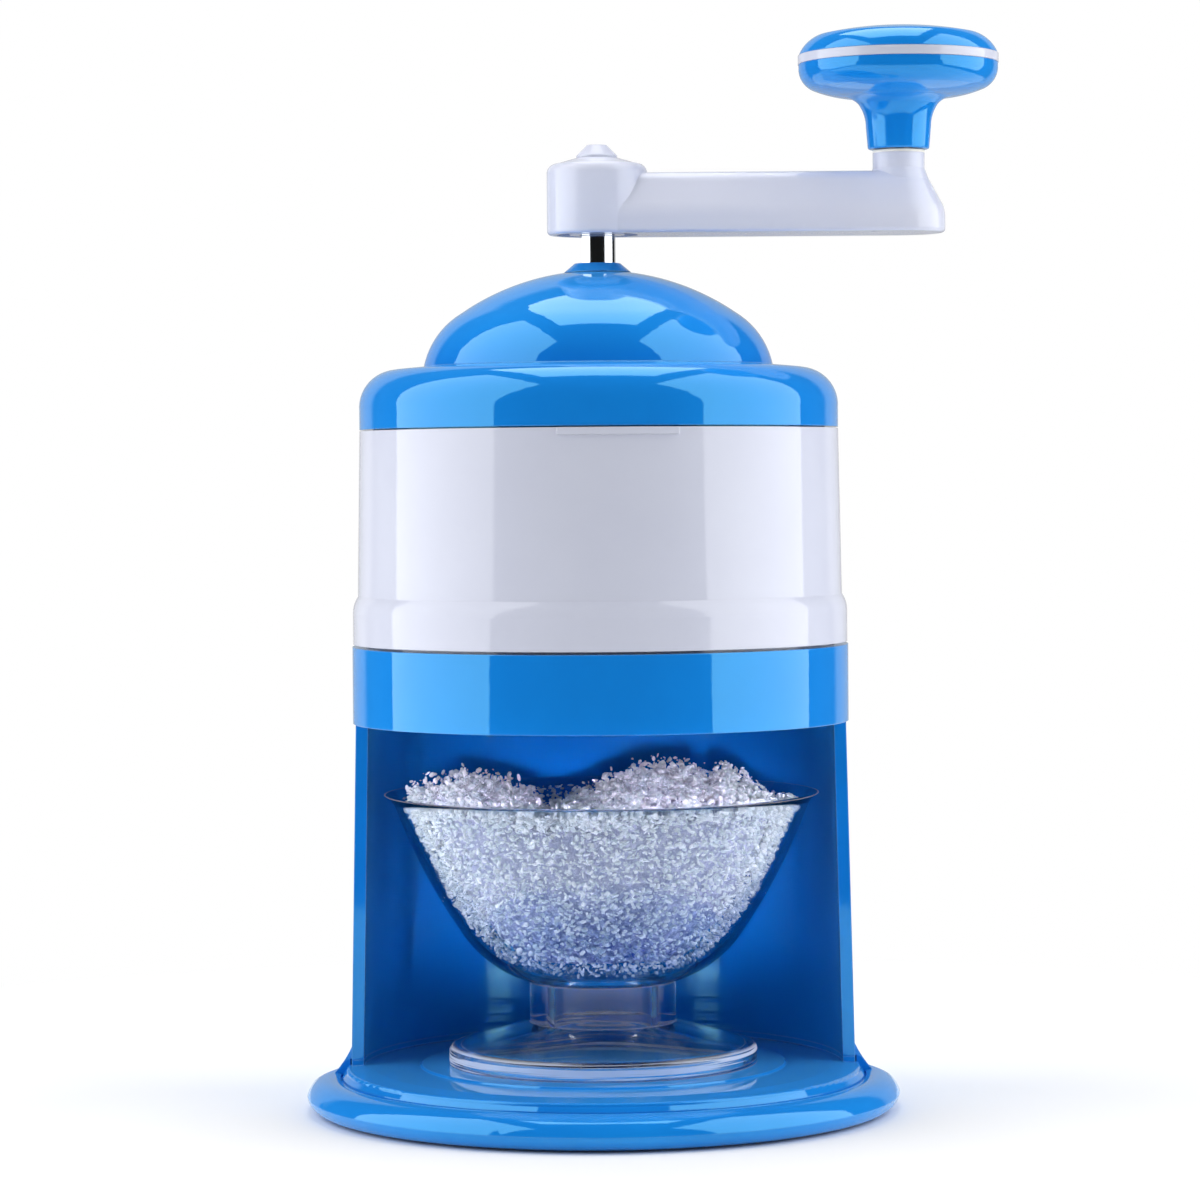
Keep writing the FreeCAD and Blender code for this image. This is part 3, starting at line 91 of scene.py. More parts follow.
def soft_box(name, place, target, size, power, tint=(1, 1, 1)):
    """A rectangular area lamp that faces its target."""
    lamp = bpy.data.lights.new(name, "AREA")
    lamp.shape = "RECTANGLE"
    lamp.size, lamp.size_y = size
    lamp.energy = power
    lamp.color = tint
    stand = bpy.data.objects.new(name, lamp)
    bpy.context.scene.collection.objects.link(stand)
    stand.location = place
    stand.rotation_euler = (Vector(target) - Vector(place)).to_track_quat("-Z", "Y").to_euler()
    return stand


for side, name in ((-1, "left_soft_box"), (1, "right_soft_box")):
    soft_box(name, (side * BOX_REACH, BOX_DEPTH, BOX_HEIGHT), (0, BOX_DEPTH, BOX_AIM),
             SIDE_BOX, SIDE_POWER)
soft_box("top_soft_box", TOP_PLACE, TOP_TARGET, TOP_BOX, TOP_POWER)
print("soft boxes:", [lamp.name for lamp in bpy.data.lights])

# %% [markdown]
# A weak fill comes from the camera's side, and two small lamps with a narrow beam lift the bowl
# bay and the crank arm, which the boxes leave dull. A mirror-like surface doesn't show these
# three, so that they add light and no highlights of their own.

# %% Fill lamps
FRONT_PLACE, FRONT_TARGET = (0, -1.3, 0.4), (0, 0, 0.12)
FRONT_BOX, FRONT_POWER = (1.3, 0.8), 0.38
BAY_PLACE, BAY_TARGET = (0, -0.5, 0.058), (0, 0, 0.058)
BAY_BOX, BAY_POWER = (0.09, 0.045), 0.018
BAY_TINT = (0.9, 0.7, 1)
CRANK_PLACE, CRANK_TARGET = (0.03, -0.85, 0.216), (0.03, 0, 0.216)
CRANK_BOX, CRANK_POWER = (0.15, 0.03), 0.003
BEAM_SPREAD = math.radians(5)

front_fill = soft_box("front_fill", FRONT_PLACE, FRONT_TARGET, FRONT_BOX, FRONT_POWER)
bay_light = soft_box("bay_light", BAY_PLACE, BAY_TARGET, BAY_BOX, BAY_POWER, BAY_TINT)
crank_light = soft_box("crank_light", CRANK_PLACE, CRANK_TARGET, CRANK_BOX, CRANK_POWER)
for narrow in (bay_light, crank_light):
    narrow.data.spread = BEAM_SPREAD
for unseen in (front_fill, bay_light, crank_light):
    unseen.visible_glossy = False
print("lamps in all:", len(bpy.data.lights))

# %% [markdown]
# ## The room
# The rest of the studio is a world that depends on the direction. Behind the shaver it is a white
# wall. In front it is the dim side of the room where the camera stands. A mirror-like surface sees
# that dim side as it is, which gives the plastic its deep middle, and a matt surface gathers a
# softer fill from it. The camera sees plain white everywhere, and also where it looks straight
# through the clear bowl.

# %% World
FILL_FRONT, FILL_BACK = 0.1, 0.6
FILL_START, FILL_END = -0.3, 0.6
MIRROR_FRONT, MIRROR_BACK = 0.01, 0.5
MIRROR_START, MIRROR_END = 0.72, 0.8

world = bpy.data.worlds.new("studio")
bpy.context.scene.world = world
world.use_nodes = True
wires = world.node_tree
wires.nodes.clear()


def wire(kind, *sources, operation=None):
    """Add a world node and feed its inputs in their order."""
    node = wires.nodes.new("ShaderNode" + kind)
    if operation:
        node.operation = operation
    for socket, source in zip(node.inputs, sources):
        if isinstance(source, bpy.types.NodeSocket):
            wires.links.new(source, socket)
        else:
            socket.default_value = source
    return node


def calculate(operation, *sources):
    """The result of a Math node of the world."""
    return wire("Math", *sources, operation=operation).outputs[0]


def room_glow(front, back, start, end):
    """Glow of the room from its front to its back wall."""
    fade = wire("MapRange", depth, start, end, front, back)
    fade.interpolation_type = "SMOOTHSTEP"
    return fade.outputs[0]


depth = wire("SeparateXYZ", wire("TexCoord").outputs["Generated"]).outputs["Y"]
rays = wire("LightPath").outputs
mirror = room_glow(MIRROR_FRONT, MIRROR_BACK, MIRROR_START, MIRROR_END)
fill = room_glow(FILL_FRONT, FILL_BACK, FILL_START, FILL_END)
gap = calculate("SUBTRACT", mirror, fill)
room = calculate("MULTIPLY_ADD", gap, rays["Is Glossy Ray"], fill)
bounces = calculate("ADD", rays["Glossy Depth"], rays["Diffuse Depth"])
unbounced = calculate("LESS_THAN", bounces, 0.5)
through = calculate("MULTIPLY", rays["Is Transmission Ray"], unbounced)
seen = calculate("MAXIMUM", rays["Is Camera Ray"], through)
backdrop = wire("Background", (1, 1, 1, 1), calculate("MAXIMUM", room, seen))
wires.links.new(backdrop.outputs[0], wire("OutputWorld").inputs["Surface"])
print("world fill:", FILL_FRONT, "to", FILL_BACK, "mirror:", MIRROR_FRONT, "to", MIRROR_BACK)

# %% [markdown]
# ## Helpers for materials
# A material here is a small node tree. The helper `Finish` makes the tree and adds one named
# node at a time, so each recipe below reads from the pattern's coordinates to the shader.

# %% Material helper
class Finish:
    """A node material that is built up one node at a time."""

    def __init__(self, name, **sockets):
        self.material = bpy.data.materials.new(name)
        self.material.use_nodes = True
        self.tree = self.material.node_tree
        self.shader = self.tree.nodes["Principled BSDF"]
        for socket, setting in sockets.items():
            self.shader.inputs[socket.replace("_", " ")].default_value = setting
        self.place = self.add("TexCoord").outputs["Object"]

    def add(self, kind, **settings):
        """Add a node; upper-case settings are input sockets, the others are properties."""
        node = self.tree.nodes.new("ShaderNode" + kind)
        for key, setting in settings.items():
            if key[0].isupper():
                self.feed(node.inputs[key.replace("_", " ")], setting)
            else:
                setattr(node, key, setting)
        return node

    def feed(self, socket, setting):
        """Wire an output into a socket, or set the socket's own value."""
        if isinstance(setting, bpy.types.NodeSocket):
            self.tree.links.new(setting, socket)
        else:
            socket.default_value = setting

    def chain(self, kind, *sources, **settings):
        """Add a node and feed its inputs in their order."""
        node = self.add(kind, **settings)
        for socket, source in zip(node.inputs, sources):
            self.feed(socket, source)
        return node

    def calc(self, operation, *sources):
        """Result of a Math node."""
        return self.chain("Math", *sources, operation=operation).outputs[0]

    def height(self):
        """Height of a point of the piece."""
        return self.add("SeparateXYZ", Vector=self.place).outputs["Z"]

    def reach(self, vector):
        """Length of a vector."""
        return self.chain("VectorMath", vector, operation="LENGTH").outputs["Value"]

    def noise(self, scale, detail=3.0, stretch=None, roughness=0.55):
        """Cloudy noise on object coordinates, from 0 to 1."""
        place = self.place
        if stretch:
            place = self.add("Mapping", Vector=place, Scale=stretch).outputs[0]
        return self.add("TexNoise", Vector=place, Scale=scale, Detail=detail,
                        Roughness=roughness).outputs["Fac"]

    def ramp(self, fac, low, high, start=0.0, end=1.0):
        """Map a factor from one range to another."""
        return self.add("MapRange", Value=fac, From_Min=start, From_Max=end,
                        To_Min=low, To_Max=high).outputs[0]

    def blend(self, fac, first, second):
        """Mix two colours by a factor."""
        node = self.add("Mix", data_type="RGBA")
        for slot, source in ((0, fac), (6, first), (7, second)):
            self.feed(node.inputs[slot], source)
        return node.outputs[2]

    def rounded(self, radius):
        """Normal of the surface as if its edges were rounded."""
        return self.add("Bevel", samples=4, Radius=radius).outputs[0]

    def edges(self, radius):
        """1 on edges that are sharper than the radius and 0 on broad faces."""
        sharp = self.add("NewGeometry").outputs["Normal"]
        turn = self.chain("VectorMath", self.rounded(radius), sharp, operation="DOT_PRODUCT")
        return self.ramp(turn.outputs["Value"], 1.0, 0.0, 0.75, 0.99)

    def bump(self, height, strength, distance, normal=None):
        """Bump from a height; normal carries an earlier bump or bevel."""
        node = self.add("Bump", Height=height, Strength=strength, Distance=distance)
        if normal is not None:
            self.feed(node.inputs["Normal"], normal)
        return node.outputs[0]

    def shade(self, **links):
        """Wire pattern outputs into the shader's sockets."""
        for socket, source in links.items():
            self.tree.links.new(source, self.shader.inputs[socket.replace("_", " ")])
        return self.material

    def overlay(self, fac, under, over):
        """Mix two shaders by a factor."""
        return self.chain("MixShader", fac, under, over).outputs[0]

    def cover(self, shader):
        """Make a shader the surface of the material."""
        self.feed(self.tree.nodes["Material Output"].inputs["Surface"], shader)


print("helpers of a finish:", [name for name in vars(Finish) if not name.startswith("_")])

# %% [markdown]
# Colours are written as the 0-255 values of a display. The shader works with linear light, so
# `linear` converts them. `dress` gives one material to several CAD pieces.

# %% Colours and pieces
def linear(red, green, blue):
    """A linear colour from 0-255 display values."""
    def channel(level):
        level = level / 255
        return level / 12.92 if level <= 0.04045 else ((level + 0.055) / 1.055) ** 2.4
    return (channel(red), channel(green), channel(blue), 1)


def dress(material, *names):
    """Give one material to several pieces."""
    for name in names:
        slots = nodes[name].data.materials
        slots.clear()
        slots.append(material)


print("middle grey is", round(linear(128, 128, 128)[0], 3), "in linear light")

# %% [markdown]
# ## Moulded plastics
# The housing, foot, lid and knob are high-gloss plastic in one strong blue. Real gloss mouldings
# are never perfect mirrors: a faint orange peel bends the highlights, handling leaves smudges
# that vary the roughness, and every arris is rounded. The Bevel node rounds the shading of the
# arrises without touching the CAD mesh, and the arrises are also painted paler in the base colour,
# a painted highlight. The blue tints its highlights a little, and a thin sheen in the same tint
# lifts the edges of the round forms.

# %% Gloss plastics
PLASTIC_IOR = 1.58
SHEEN_SPREAD = 0.5
SMUDGE_ROUGHNESS = 0.06
ARRIS_SEEN, ARRIS_ROUND = 0.0006, 0.0004
ARRIS_HIGHLIGHT_BLEND = 0.18
ARRIS_HIGHLIGHT_PALING = 0.45
PEEL_SCALE, PEEL_STRENGTH, PEEL_DEPTH = 420, 0.006, 0.001


def gloss_plastic(name, light, deep, roughness, gloss, tint, haze):
    """Glossy plastic between two shades, with orange peel, smudges and rounded arrises with a
    painted highlight.
    """
    finish = Finish(name, IOR=PLASTIC_IOR, Specular_IOR_Level=gloss, Specular_Tint=tint,
                    Sheen_Weight=haze, Sheen_Roughness=SHEEN_SPREAD, Sheen_Tint=tint)
    cloud = finish.noise(28, 4)
    smudge = finish.noise(90, 5, stretch=(1, 1, 0.35))
    # The arrises get a paler base colour: a painted highlight where they would catch light.
    arris_painted_highlight = tuple(min(1, (1 - ARRIS_HIGHLIGHT_PALING) * part + ARRIS_HIGHLIGHT_PALING) for part in light[:3]) + (1,)
    body = finish.blend(finish.ramp(cloud, 0, 1, 0.35, 0.65), deep, light)
    body = finish.blend(finish.ramp(finish.edges(ARRIS_SEEN), 0, ARRIS_HIGHLIGHT_BLEND), body, arris_painted_highlight)
    peeled = finish.bump(finish.noise(PEEL_SCALE, 2), PEEL_STRENGTH, PEEL_DEPTH,
                         finish.rounded(ARRIS_ROUND))
    smudge_and_painted_highlight = finish.ramp(smudge, roughness, roughness + SMUDGE_ROUGHNESS, 0.5, 0.85)
    return finish.shade(Base_Color=body, Roughness=smudge_and_painted_highlight, Normal=peeled)


blue = gloss_plastic("blue_gloss", linear(20, 136, 228), linear(18, 130, 222),
                     roughness=0.03, gloss=1.0, tint=(0.3, 0.86, 1, 1), haze=0.14)
white = gloss_plastic("white_gloss", linear(211, 215, 231), linear(207, 211, 228),
                      roughness=0.06, gloss=0.42, tint=(0.97, 0.98, 1, 1), haze=0.0)
dress(blue, "base_moulding", "housing", "lid", "shaft_bush", "knob_body", "knob_cap", "press_plate")
dress(white, "hopper", "crank_arm", "crank_arm_cover", "hub_cap", "knob_ring")
print("gloss plastics:", blue.name, white.name)

# %% [markdown]
# ## Metal
# The shaft is plated and polished, with hair-fine lines round it from the lathe. The blade and
# the screws are plain stainless steel, duller and brushed.

# %% Metals
LINE_DEPTH = 0.0002
STAIN_FACTOR = 1.8


def metal(name, tone, roughness, line_scale, line_strength, stretch):
    """Polished or brushed metal with fine lines."""
    finish = Finish(name, Metallic=1.0, Base_Color=tone)
    lines = finish.noise(line_scale, 2, stretch=stretch)
    stain = finish.noise(60, 3)
    return finish.shade(
        Roughness=finish.ramp(stain, roughness, roughness * STAIN_FACTOR, 0.35, 0.75),
        Normal=finish.bump(lines, line_strength, LINE_DEPTH))


chrome = metal("polished_steel", linear(222, 226, 230), 0.07, 900, 0.05, (0.1, 0.1, 4))
steel = metal("brushed_steel", linear(196, 199, 204), 0.22, 700, 0.15, (0.08, 3, 3))
dress(chrome, "shaft")
dress(steel, "blade", "blade_screws", "blade_nuts", "press_spikes", "plate_washer", "plate_nut",
      "bush_clip", "crank_washer", "crank_screw", "knob_axle", "housing_screws", "cover_screws")
print("metals:", chrome.name, steel.name)

# %% [markdown]
# ## Quiet plastics and rubber
# The bottom cover is spark-eroded grey plastic, the washers are natural nylon, and the pad is
# black rubber with a fine pebble grain. Dust makes all three a little paler in patches.

# %% Matte finishes
MATTE_IOR = 1.48
PEBBLE_DEPTH = 0.0004
DUST_ROUGHNESS = 0.1


def matte(name, tone, grain_scale, grain, roughness):
    """A matte moulding with a pebbled grain."""
    finish = Finish(name, IOR=MATTE_IOR)
    pebbles = finish.add("TexVoronoi", Vector=finish.place, Scale=grain_scale).outputs["Distance"]
    dust = finish.noise(45, 4)
    pale = tuple(min(1, 1.3 * part + 0.01) for part in tone[:3]) + (1,)
    return finish.shade(Base_Color=finish.blend(finish.ramp(dust, 0, 1, 0.4, 0.8), tone, pale),
                        Roughness=finish.ramp(dust, roughness, roughness + DUST_ROUGHNESS),
                        Normal=finish.bump(pebbles, grain, PEBBLE_DEPTH))


dress(matte("grey_plastic", linear(96, 100, 108), 900, 0.2, 0.5), "bottom_cover")
dress(matte("nylon", linear(232, 230, 220), 500, 0.05, 0.4), "bush_washer", "knob_washer")
dress(matte("rubber", linear(30, 31, 34), 700, 0.4, 0.6), "non_slip_pad")
print("materials so far:", len(bpy.data.materials))

# %% [markdown]
# ## Clear bowl
# The bowl is clear plastic that refracts what stands behind it. A faint waviness and a few
# rubbed patches keep it from looking like air. The refraction is weaker than that of solid
# plastic, which would turn the thick rim black, and a coat gives the surface its full gloss.

# %% Clear plastic
CLEAR_IOR, COAT_IOR = 1.14, 1.5
CLEAR_TINT = (0.94, 0.97, 1, 1)
LIP_ROUND = 0.0007
WAVE_STRENGTH, WAVE_DEPTH = 0.04, 0.002

bowl_finish = Finish("clear_plastic", Base_Color=CLEAR_TINT, IOR=CLEAR_IOR,
                     Transmission_Weight=1.0, Coat_Weight=0.35, Coat_Roughness=0.03,
                     Coat_IOR=COAT_IOR)
rubbed = bowl_finish.ramp(bowl_finish.noise(70, 4), 0.01, 0.06, 0.5, 0.9)
wavy = bowl_finish.bump(bowl_finish.noise(35, 1), WAVE_STRENGTH, WAVE_DEPTH,
                        bowl_finish.rounded(LIP_ROUND))
clear = bowl_finish.shade(Roughness=rubbed, Normal=wavy)
dress(clear, "bowl")
print("clear plastic refracts with an index of", CLEAR_IOR)

# %% [markdown]
# Sharp edges of clear plastic look pale, and here a painted highlight stands for that thin line of
# light. The outer edge of the foot gets a painted highlight too, in streaks, for the light that
# gleams along it. A pale diffuse shader paints both by a mask: the edges, and a ring at the
# foot's lower outer edge that fades out above FOOT_TOP and inside FOOT_RADIUS.

# %% Painted highlights on the bowl's edges
FOOT_RADIUS, FOOT_TOP = 0.0364, 0.0155
RING_DROP = 0.0008
RING_START, RING_FULL = 0.0018, 0.001
FOOT_HIGHLIGHT = 0.7
EDGE_SEEN, EDGE_HIGHLIGHT = 0.0006, 0.3
PAINTED_HIGHLIGHT_TONE = linear(226, 232, 248)

# Painted highlight: a pale diffuse shader on the sharp edges and on a streaked ring round the
# foot's outer edge.
across = bowl_finish.chain("VectorMath", bowl_finish.place, (1, 1, 0), operation="MULTIPLY")
reach = bowl_finish.reach(across.outputs[0])
ring = bowl_finish.ramp(bowl_finish.height(), FOOT_HIGHLIGHT, 0, FOOT_TOP - RING_DROP, FOOT_TOP)
outer = bowl_finish.ramp(reach, 0, 1, FOOT_RADIUS - RING_START, FOOT_RADIUS - RING_FULL)
streak = bowl_finish.ramp(bowl_finish.noise(30, 3, stretch=(0.5, 0.5, 40)), 0, 1, 0.48, 0.54)
smudge_and_painted_highlight = bowl_finish.calc("MULTIPLY", bowl_finish.calc("MULTIPLY", ring, outer), streak)
painted_edge_highlight = bowl_finish.ramp(bowl_finish.edges(EDGE_SEEN), 0, EDGE_HIGHLIGHT)
painted_highlight_shader = bowl_finish.add("BsdfDiffuse", Color=PAINTED_HIGHLIGHT_TONE).outputs[0]
edged = bowl_finish.overlay(bowl_finish.calc("MAXIMUM", painted_edge_highlight, smudge_and_painted_highlight),
                            bowl_finish.shader.outputs[0], painted_highlight_shader)
print("rubbed ring up to", FOOT_TOP, "m")

# %% [markdown]
# A clear wall lets light through to what is in the bowl, so rays that only ask whether a lamp is
# hidden pass straight through it, with a slight loss.

# %% Light through the bowl
WALL_LOSS = (0.93, 0.95, 0.98, 1)

passing = bowl_finish.add("BsdfTransparent", Color=WALL_LOSS).outputs[0]
shadow_rays = bowl_finish.add("LightPath").outputs["Is Shadow Ray"]
bowl_finish.cover(bowl_finish.overlay(shadow_rays, edged, passing))
print("light that passes the wall:", WALL_LOSS[:3])

# %% [markdown]
# ## Shaved ice
# Shaved ice is a heap of thin, broken flakes. Thousands of small squashed icospheres, each turned
# its own way, make the crumbly skin that touches the bowl and the humps above its rim. A plain
# core fills the middle, so that no daylight shows through the heap. Two tables give the room for
# it, in millimetres: the inside of the cup as height and radius, and the ridge of the heap as
# place and height from left to right.

# %% The room for the ice
CUP_WALL = [(32.1, 16.7), (36.4, 25.4), (43.8, 32.0), (51.0, 37.0), (58.0, 40.5), (65.0, 43.8),
            (74.2, 47.9)]
CUP_RIM = CUP_WALL[-1][1]
HEAP_RIDGE = [(-38, 76.5), (-33, 79.1), (-28, 77.5), (-23, 76.8), (-17, 74.5), (-13, 69.0),
              (-7, 72.5), (3, 77.5), (9, 79.1), (14, 80.3), (22, 79.3), (25, 77.5), (29, 79.8),
              (36, 76.8), (39, 72.1), (47, 70)]
SHORE_FRONT, SHORE_BACK = 72.0, 64.0
SHORE_TURN = 0.4
HEAP_ROUND = 1.8
LUMP_HEIGHT = 2.1


def between(table, place):
    """Read a table of pairs, in a straight line between its rows."""
    for (start, low), (end, high) in zip(table, table[1:]):
        if place <= end:
            share = max(0, (place - start) / (end - start))
            return low + (high - low) * share
    return table[-1][1]


def heap_top(across, depth):
    """Height of the heap's surface, which falls from a ridge to the shore at the bowl's wall."""
    chord = math.sqrt(max(1, CUP_RIM * CUP_RIM - across * across))
    share = min(1, abs(depth) / chord)
    back = min(1, max(0, depth / CUP_RIM + SHORE_TURN))
    shore = SHORE_FRONT + (SHORE_BACK - SHORE_FRONT) * back
    broad = noise.noise(Vector((across, depth, 5)) * 0.22)
    lump = broad + 0.9 * noise.noise(Vector((across, depth, 9)) * 0.45)
    ridge = between(HEAP_RIDGE, across)
    return shore + (ridge - shore) * (1 - share ** HEAP_ROUND) + LUMP_HEIGHT * lump


print("heap crest:", round(max(heap_top(step, 0) for step in range(-40, 41)), 1), "mm")

# %% [markdown]
# The core is a spun profile that stays CORE_INSET inside the cup. Its upper rings of vertices
# are drawn down to just below the heap's surface and the rest is roughened with noise.

# %% Core of the heap
MM = 0.001
DENSE_LOW = 36.0
HEAP_LID = 90.0
CORE_INSET = 5.0
CORE_DEPTH = 3.2
CORE_STEPS = 96
TOP_RINGS = (0.85, 0.7, 0.5, 0.3, 0.12, 0)

core = bmesh.new()
profile = [(0, DENSE_LOW)]
profile += [(radius - CORE_INSET, height) for height, radius in CUP_WALL if height > DENSE_LOW]
profile += [(share * (CUP_RIM - CORE_INSET), HEAP_LID) for share in TOP_RINGS]
corners = [core.verts.new((radius, 0, height)) for radius, height in profile]
edges = [core.edges.new(pair) for pair in zip(corners, corners[1:])]
bmesh.ops.spin(core, geom=corners + edges, cent=(0, 0, 0), axis=(0, 0, 1), angle=2 * math.pi,
               steps=CORE_STEPS, use_merge=True)
bmesh.ops.remove_doubles(core, verts=core.verts, dist=0.01)
bmesh.ops.subdivide_edges(core, edges=core.edges, cuts=1, use_grid_fill=True)
for corner in core.verts:
    place = corner.co
    place.z = min(place.z, heap_top(place.x, place.y) - CORE_DEPTH)
    rough = noise.noise(place * 0.6) * 1.1
    outward = Vector((place.x, place.y, 0)).normalized()
    place += outward * (rough - 0.6) + Vector((0, 0, rough * 0.5))
bmesh.ops.recalc_face_normals(core, faces=core.faces)
bmesh.ops.scale(core, vec=(MM, MM, MM), verts=core.verts)
core_mesh = bpy.data.meshes.new("ice_core")
core.to_mesh(core_mesh)
core.free()
ice_core = bpy.data.objects.new("ice_core", core_mesh)
bpy.context.scene.collection.objects.link(ice_core)
print("core faces:", len(core_mesh.polygons))

# %% [markdown]
# Each flake needs a place. One rule puts flakes just inside the bowl's wall and leaves more of
# them out low down, where the ice is wet and the painted blue of the core shows between them. The
# other puts them on the heap's surface, where clumps stand a little proud.

# %% Places for flakes
WALL_SKIN, WALL_SPREAD = 0.5, 2.2
SPARSE = 0.6
SPARSE_LOW, SPARSE_RISE = 38, 14
FIELD = 46
TOP_SINK, TOP_JITTER, CLUMP_RISE = 1.6, 1.6, 5
RIM_SKIN = 1.4


def wall_spot(dice):
    """A place close to the bowl's wall; low down, more of them are left out."""
    while True:
        height = dice.uniform(CUP_WALL[0][0] + 1, SHORE_FRONT + 1)
        radius = between(CUP_WALL, height) - WALL_SKIN - abs(dice.gauss(0, WALL_SPREAD))
        angle = dice.uniform(0, 2 * math.pi)
        spot = Vector((radius * math.cos(angle), radius * math.sin(angle), height))
        wet = noise.noise(spot * 0.16)
        dense = min(1, max(SPARSE, (height - SPARSE_LOW) / SPARSE_RISE + 0.9 * wet))
        if dice.random() < dense * (0.3 + 0.7 * radius / CUP_RIM):
            return spot


def top_spot(dice):
    """A place on the heap's surface; a few flakes stand proud of it."""
    while True:
        across, depth = dice.uniform(-FIELD, FIELD), dice.uniform(-FIELD, FIELD)
        clump = noise.noise(Vector((across, depth, 2)) * 0.7)
        jitter = dice.uniform(-TOP_JITTER, TOP_JITTER + CLUMP_RISE * clump)
        height = heap_top(across, depth) - TOP_SINK + jitter
        if math.hypot(across, depth) < min(between(CUP_WALL, height), CUP_RIM) - RIM_SKIN:
            return Vector((across, depth, height))


def any_spot(dice):
    """A place on the surface or by the wall."""
    return top_spot(dice) if dice.random() < 0.5 else wall_spot(dice)


print("flakes reach a radius of", CUP_RIM - WALL_SKIN, "mm at the rim")

# %% [markdown]
# Two objects carry the flakes of the wall and of the surface. A third holds finer crumbs that
# lie between them all over the heap. The flakes are built in batches, because adding thousands
# of them to one mesh takes longer with each flake.

# %% Flakes
BATCH = 200


def flakes(name, count, find_spot, sizes, seed):
    """One object of many small flakes, built in batches and joined."""
    dice = random.Random(seed)
    whole = bmesh.new()
    batch_mesh = bpy.data.meshes.new(name + "_batch")
    for first in range(0, count, BATCH):
        batch = bmesh.new()
        for _ in range(min(BATCH, count - first)):
            angle = dice.uniform(0, 2 * math.pi)
            spin = Matrix.Rotation(angle, 4, Vector([dice.gauss(0, 1) for _ in range(3)]))
            flat = Matrix.Diagonal((dice.uniform(0.8, 1.2), dice.uniform(0.5, 0.9),
                                    dice.uniform(0.3, 0.6), 1))
            size = dice.uniform(*sizes)
            bmesh.ops.create_icosphere(batch, subdivisions=1, radius=size,
                                       matrix=Matrix.Translation(find_spot(dice)) @ spin @ flat)
        batch.to_mesh(batch_mesh)
        batch.free()
        whole.from_mesh(batch_mesh)
    bpy.data.meshes.remove(batch_mesh)
    bmesh.ops.scale(whole, vec=(MM, MM, MM), verts=whole.verts)
    mesh = bpy.data.meshes.new(name)
    whole.to_mesh(mesh)
    whole.free()
    heap = bpy.data.objects.new(name, mesh)
    bpy.context.scene.collection.objects.link(heap)
    print(name, "faces:", len(mesh.polygons))
    return heap


heap_pieces = [ice_core,
               flakes("ice_flakes_wall", 9500, wall_spot, (0.3, 0.85), 3),
               flakes("ice_flakes_top", 8500, top_spot, (0.35, 1.1), 8),
               flakes("ice_flakes_fine", 9000, any_spot, (0.15, 0.4), 11)]
for piece in heap_pieces:
    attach(piece, "bowl")

# %% [markdown]
# Ice has no colour of its own. The flakes are nearly white; on the crest they are painted whiter
# still, a painted light on the top of the heap where the lamps fall, and below it they are a touch
# greyer. Low in the bowl meltwater fills the gaps, and the housing's blue, seen through the wet
# ice, is painted into patches of the heap as a painted blue. Random Per Island gives each flake its
# own share of every blend.

# %% Finish of the flakes
ICE_IOR = 1.31
WET_SCALE, WET_WANDER = 60, 0.03
WET_LOW, WET_HIGH = 0.05, 0.07
CREST_LOW, CREST_HIGH = 0.0705, 0.0745
WHITE_FLAKE = linear(246, 252, 254)


def wet_and_painted_blue(finish):
    """1 low in the heap and 0 high up; the level between them wanders with a noise."""
    level = finish.calc("MULTIPLY_ADD", finish.noise(WET_SCALE, 3), WET_WANDER, finish.height())
    return finish.ramp(level, 1, 0, WET_LOW, WET_HIGH)


ice_finish = Finish("shaved_ice", Roughness=0.3, IOR=ICE_IOR)
each = ice_finish.add("NewGeometry").outputs["Random Per Island"]
flakes_below_crest = ice_finish.blend(each, linear(212, 226, 232), WHITE_FLAKE)
# The crest's colour and its mask: the crest is painted whiter, painted light on the top of the
# heap.
dry = ice_finish.blend(each, linear(224, 236, 243), WHITE_FLAKE)
crest = ice_finish.ramp(ice_finish.height(), 0, 1, CREST_LOW, CREST_HIGH)
crest_lit_flakes = ice_finish.blend(crest, flakes_below_crest, dry)
# Painted blue: the housing's blue seen through the wet ice, laid into the flakes in patches.
blue_through_deep = ice_finish.blend(each, linear(30, 90, 150), linear(186, 212, 226))
light = ice_finish.blend(each, linear(160, 190, 214), linear(232, 244, 250))
patch = ice_finish.ramp(ice_finish.noise(140, 3), 0, 1, 0.45, 0.55)
soaked_painted_blue = ice_finish.blend(patch, blue_through_deep, light)
ice = ice_finish.shade(Base_Color=ice_finish.blend(wet_and_painted_blue(ice_finish), crest_lit_flakes, soaked_painted_blue),
                       Normal=ice_finish.bump(ice_finish.noise(260, 6), 0.5, 0.001))
for piece in heap_pieces[1:]:
    piece.data.materials.append(ice)
print("flakes are dry from", WET_HIGH, "m upwards")

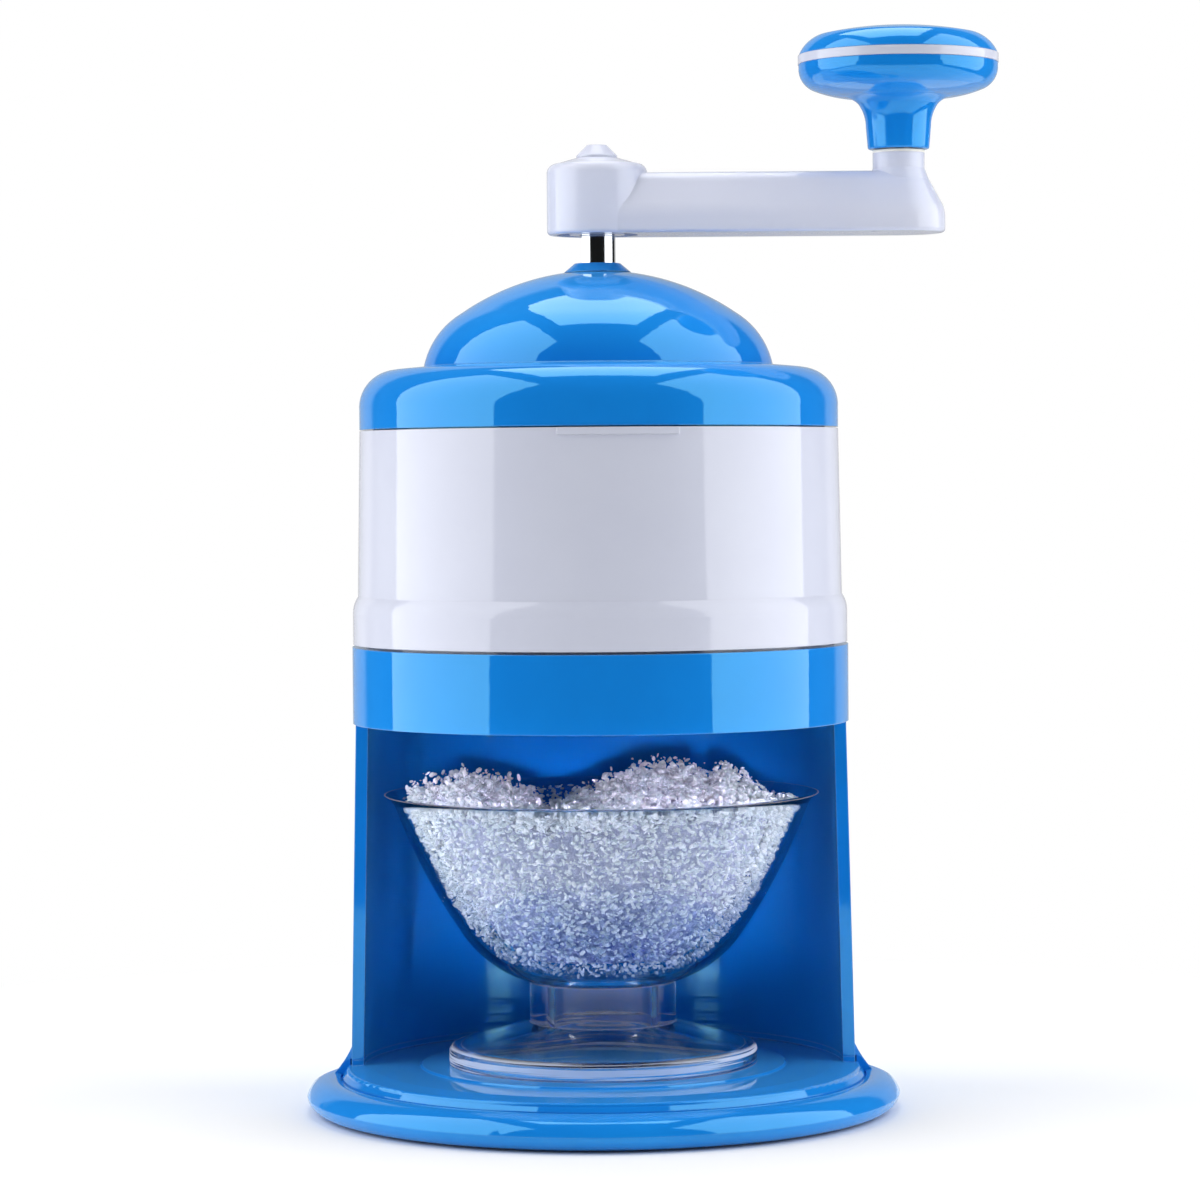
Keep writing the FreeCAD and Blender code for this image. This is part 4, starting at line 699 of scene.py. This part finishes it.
# %% [markdown]
# The core shows only in the gaps between flakes, and its colours are painted. Above the wet level
# it is a shadowy pale blue, the painted shade of the gaps; below it is deep blue, the housing's
# blue seen through the wet ice and painted in. Fine clouds vary both and also roughen it.

# %% Finish of the core
slush_finish = Finish("slush", Roughness=0.4, IOR=ICE_IOR)
cloud = slush_finish.ramp(slush_finish.noise(650, 4, roughness=0.7), 0, 1, 0.4, 0.6)
# Painted shade of the gaps between flakes.
gap_painted_shade = slush_finish.blend(cloud, linear(178, 190, 218), linear(216, 223, 242))
# Painted blue: the housing's blue seen through the wet ice.
soft = slush_finish.blend(cloud, linear(10, 52, 136), linear(150, 178, 220))
slush = slush_finish.shade(Base_Color=slush_finish.blend(wet_and_painted_blue(slush_finish), gap_painted_shade, soft),
                           Normal=slush_finish.bump(cloud, 0.6, 0.002))
ice_core.data.materials.append(slush)
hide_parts("shaved_ice")
print("ice materials:", ice.name, slush.name)

# %% [markdown]
# ## The floor
# The shaver stands on a white table. Near the shaver the table is an ordinary matte surface that
# takes its shadow. Further out it fades into plain white like the wall behind it, so its edge
# doesn't show.

# %% Floor
FLOOR_HALF = 0.45
FADE_START, FADE_END = 0.12, 0.3

floor_mesh = bpy.data.meshes.new("floor")
shape = bmesh.new()
bmesh.ops.create_grid(shape, x_segments=1, y_segments=1, size=FLOOR_HALF)
shape.to_mesh(floor_mesh)
shape.free()
floor = bpy.data.objects.new("floor", floor_mesh)
bpy.context.scene.collection.objects.link(floor)

paper = Finish("floor_paper", Base_Color=(0.9, 0.9, 0.9, 1), Roughness=0.9)
far = paper.ramp(paper.reach(paper.place), 0, 1, FADE_START, FADE_END)
camera_rays = paper.add("LightPath").outputs["Is Camera Ray"]
plain = paper.add("Emission", Color=(1, 1, 1, 1), Strength=1.0).outputs[0]
paper.cover(paper.overlay(paper.calc("MULTIPLY", far, camera_rays),
                          paper.shader.outputs[0], plain))
floor_mesh.materials.append(paper.material)
print("table:", 2 * FLOOR_HALF, "m wide")

# %% [markdown]
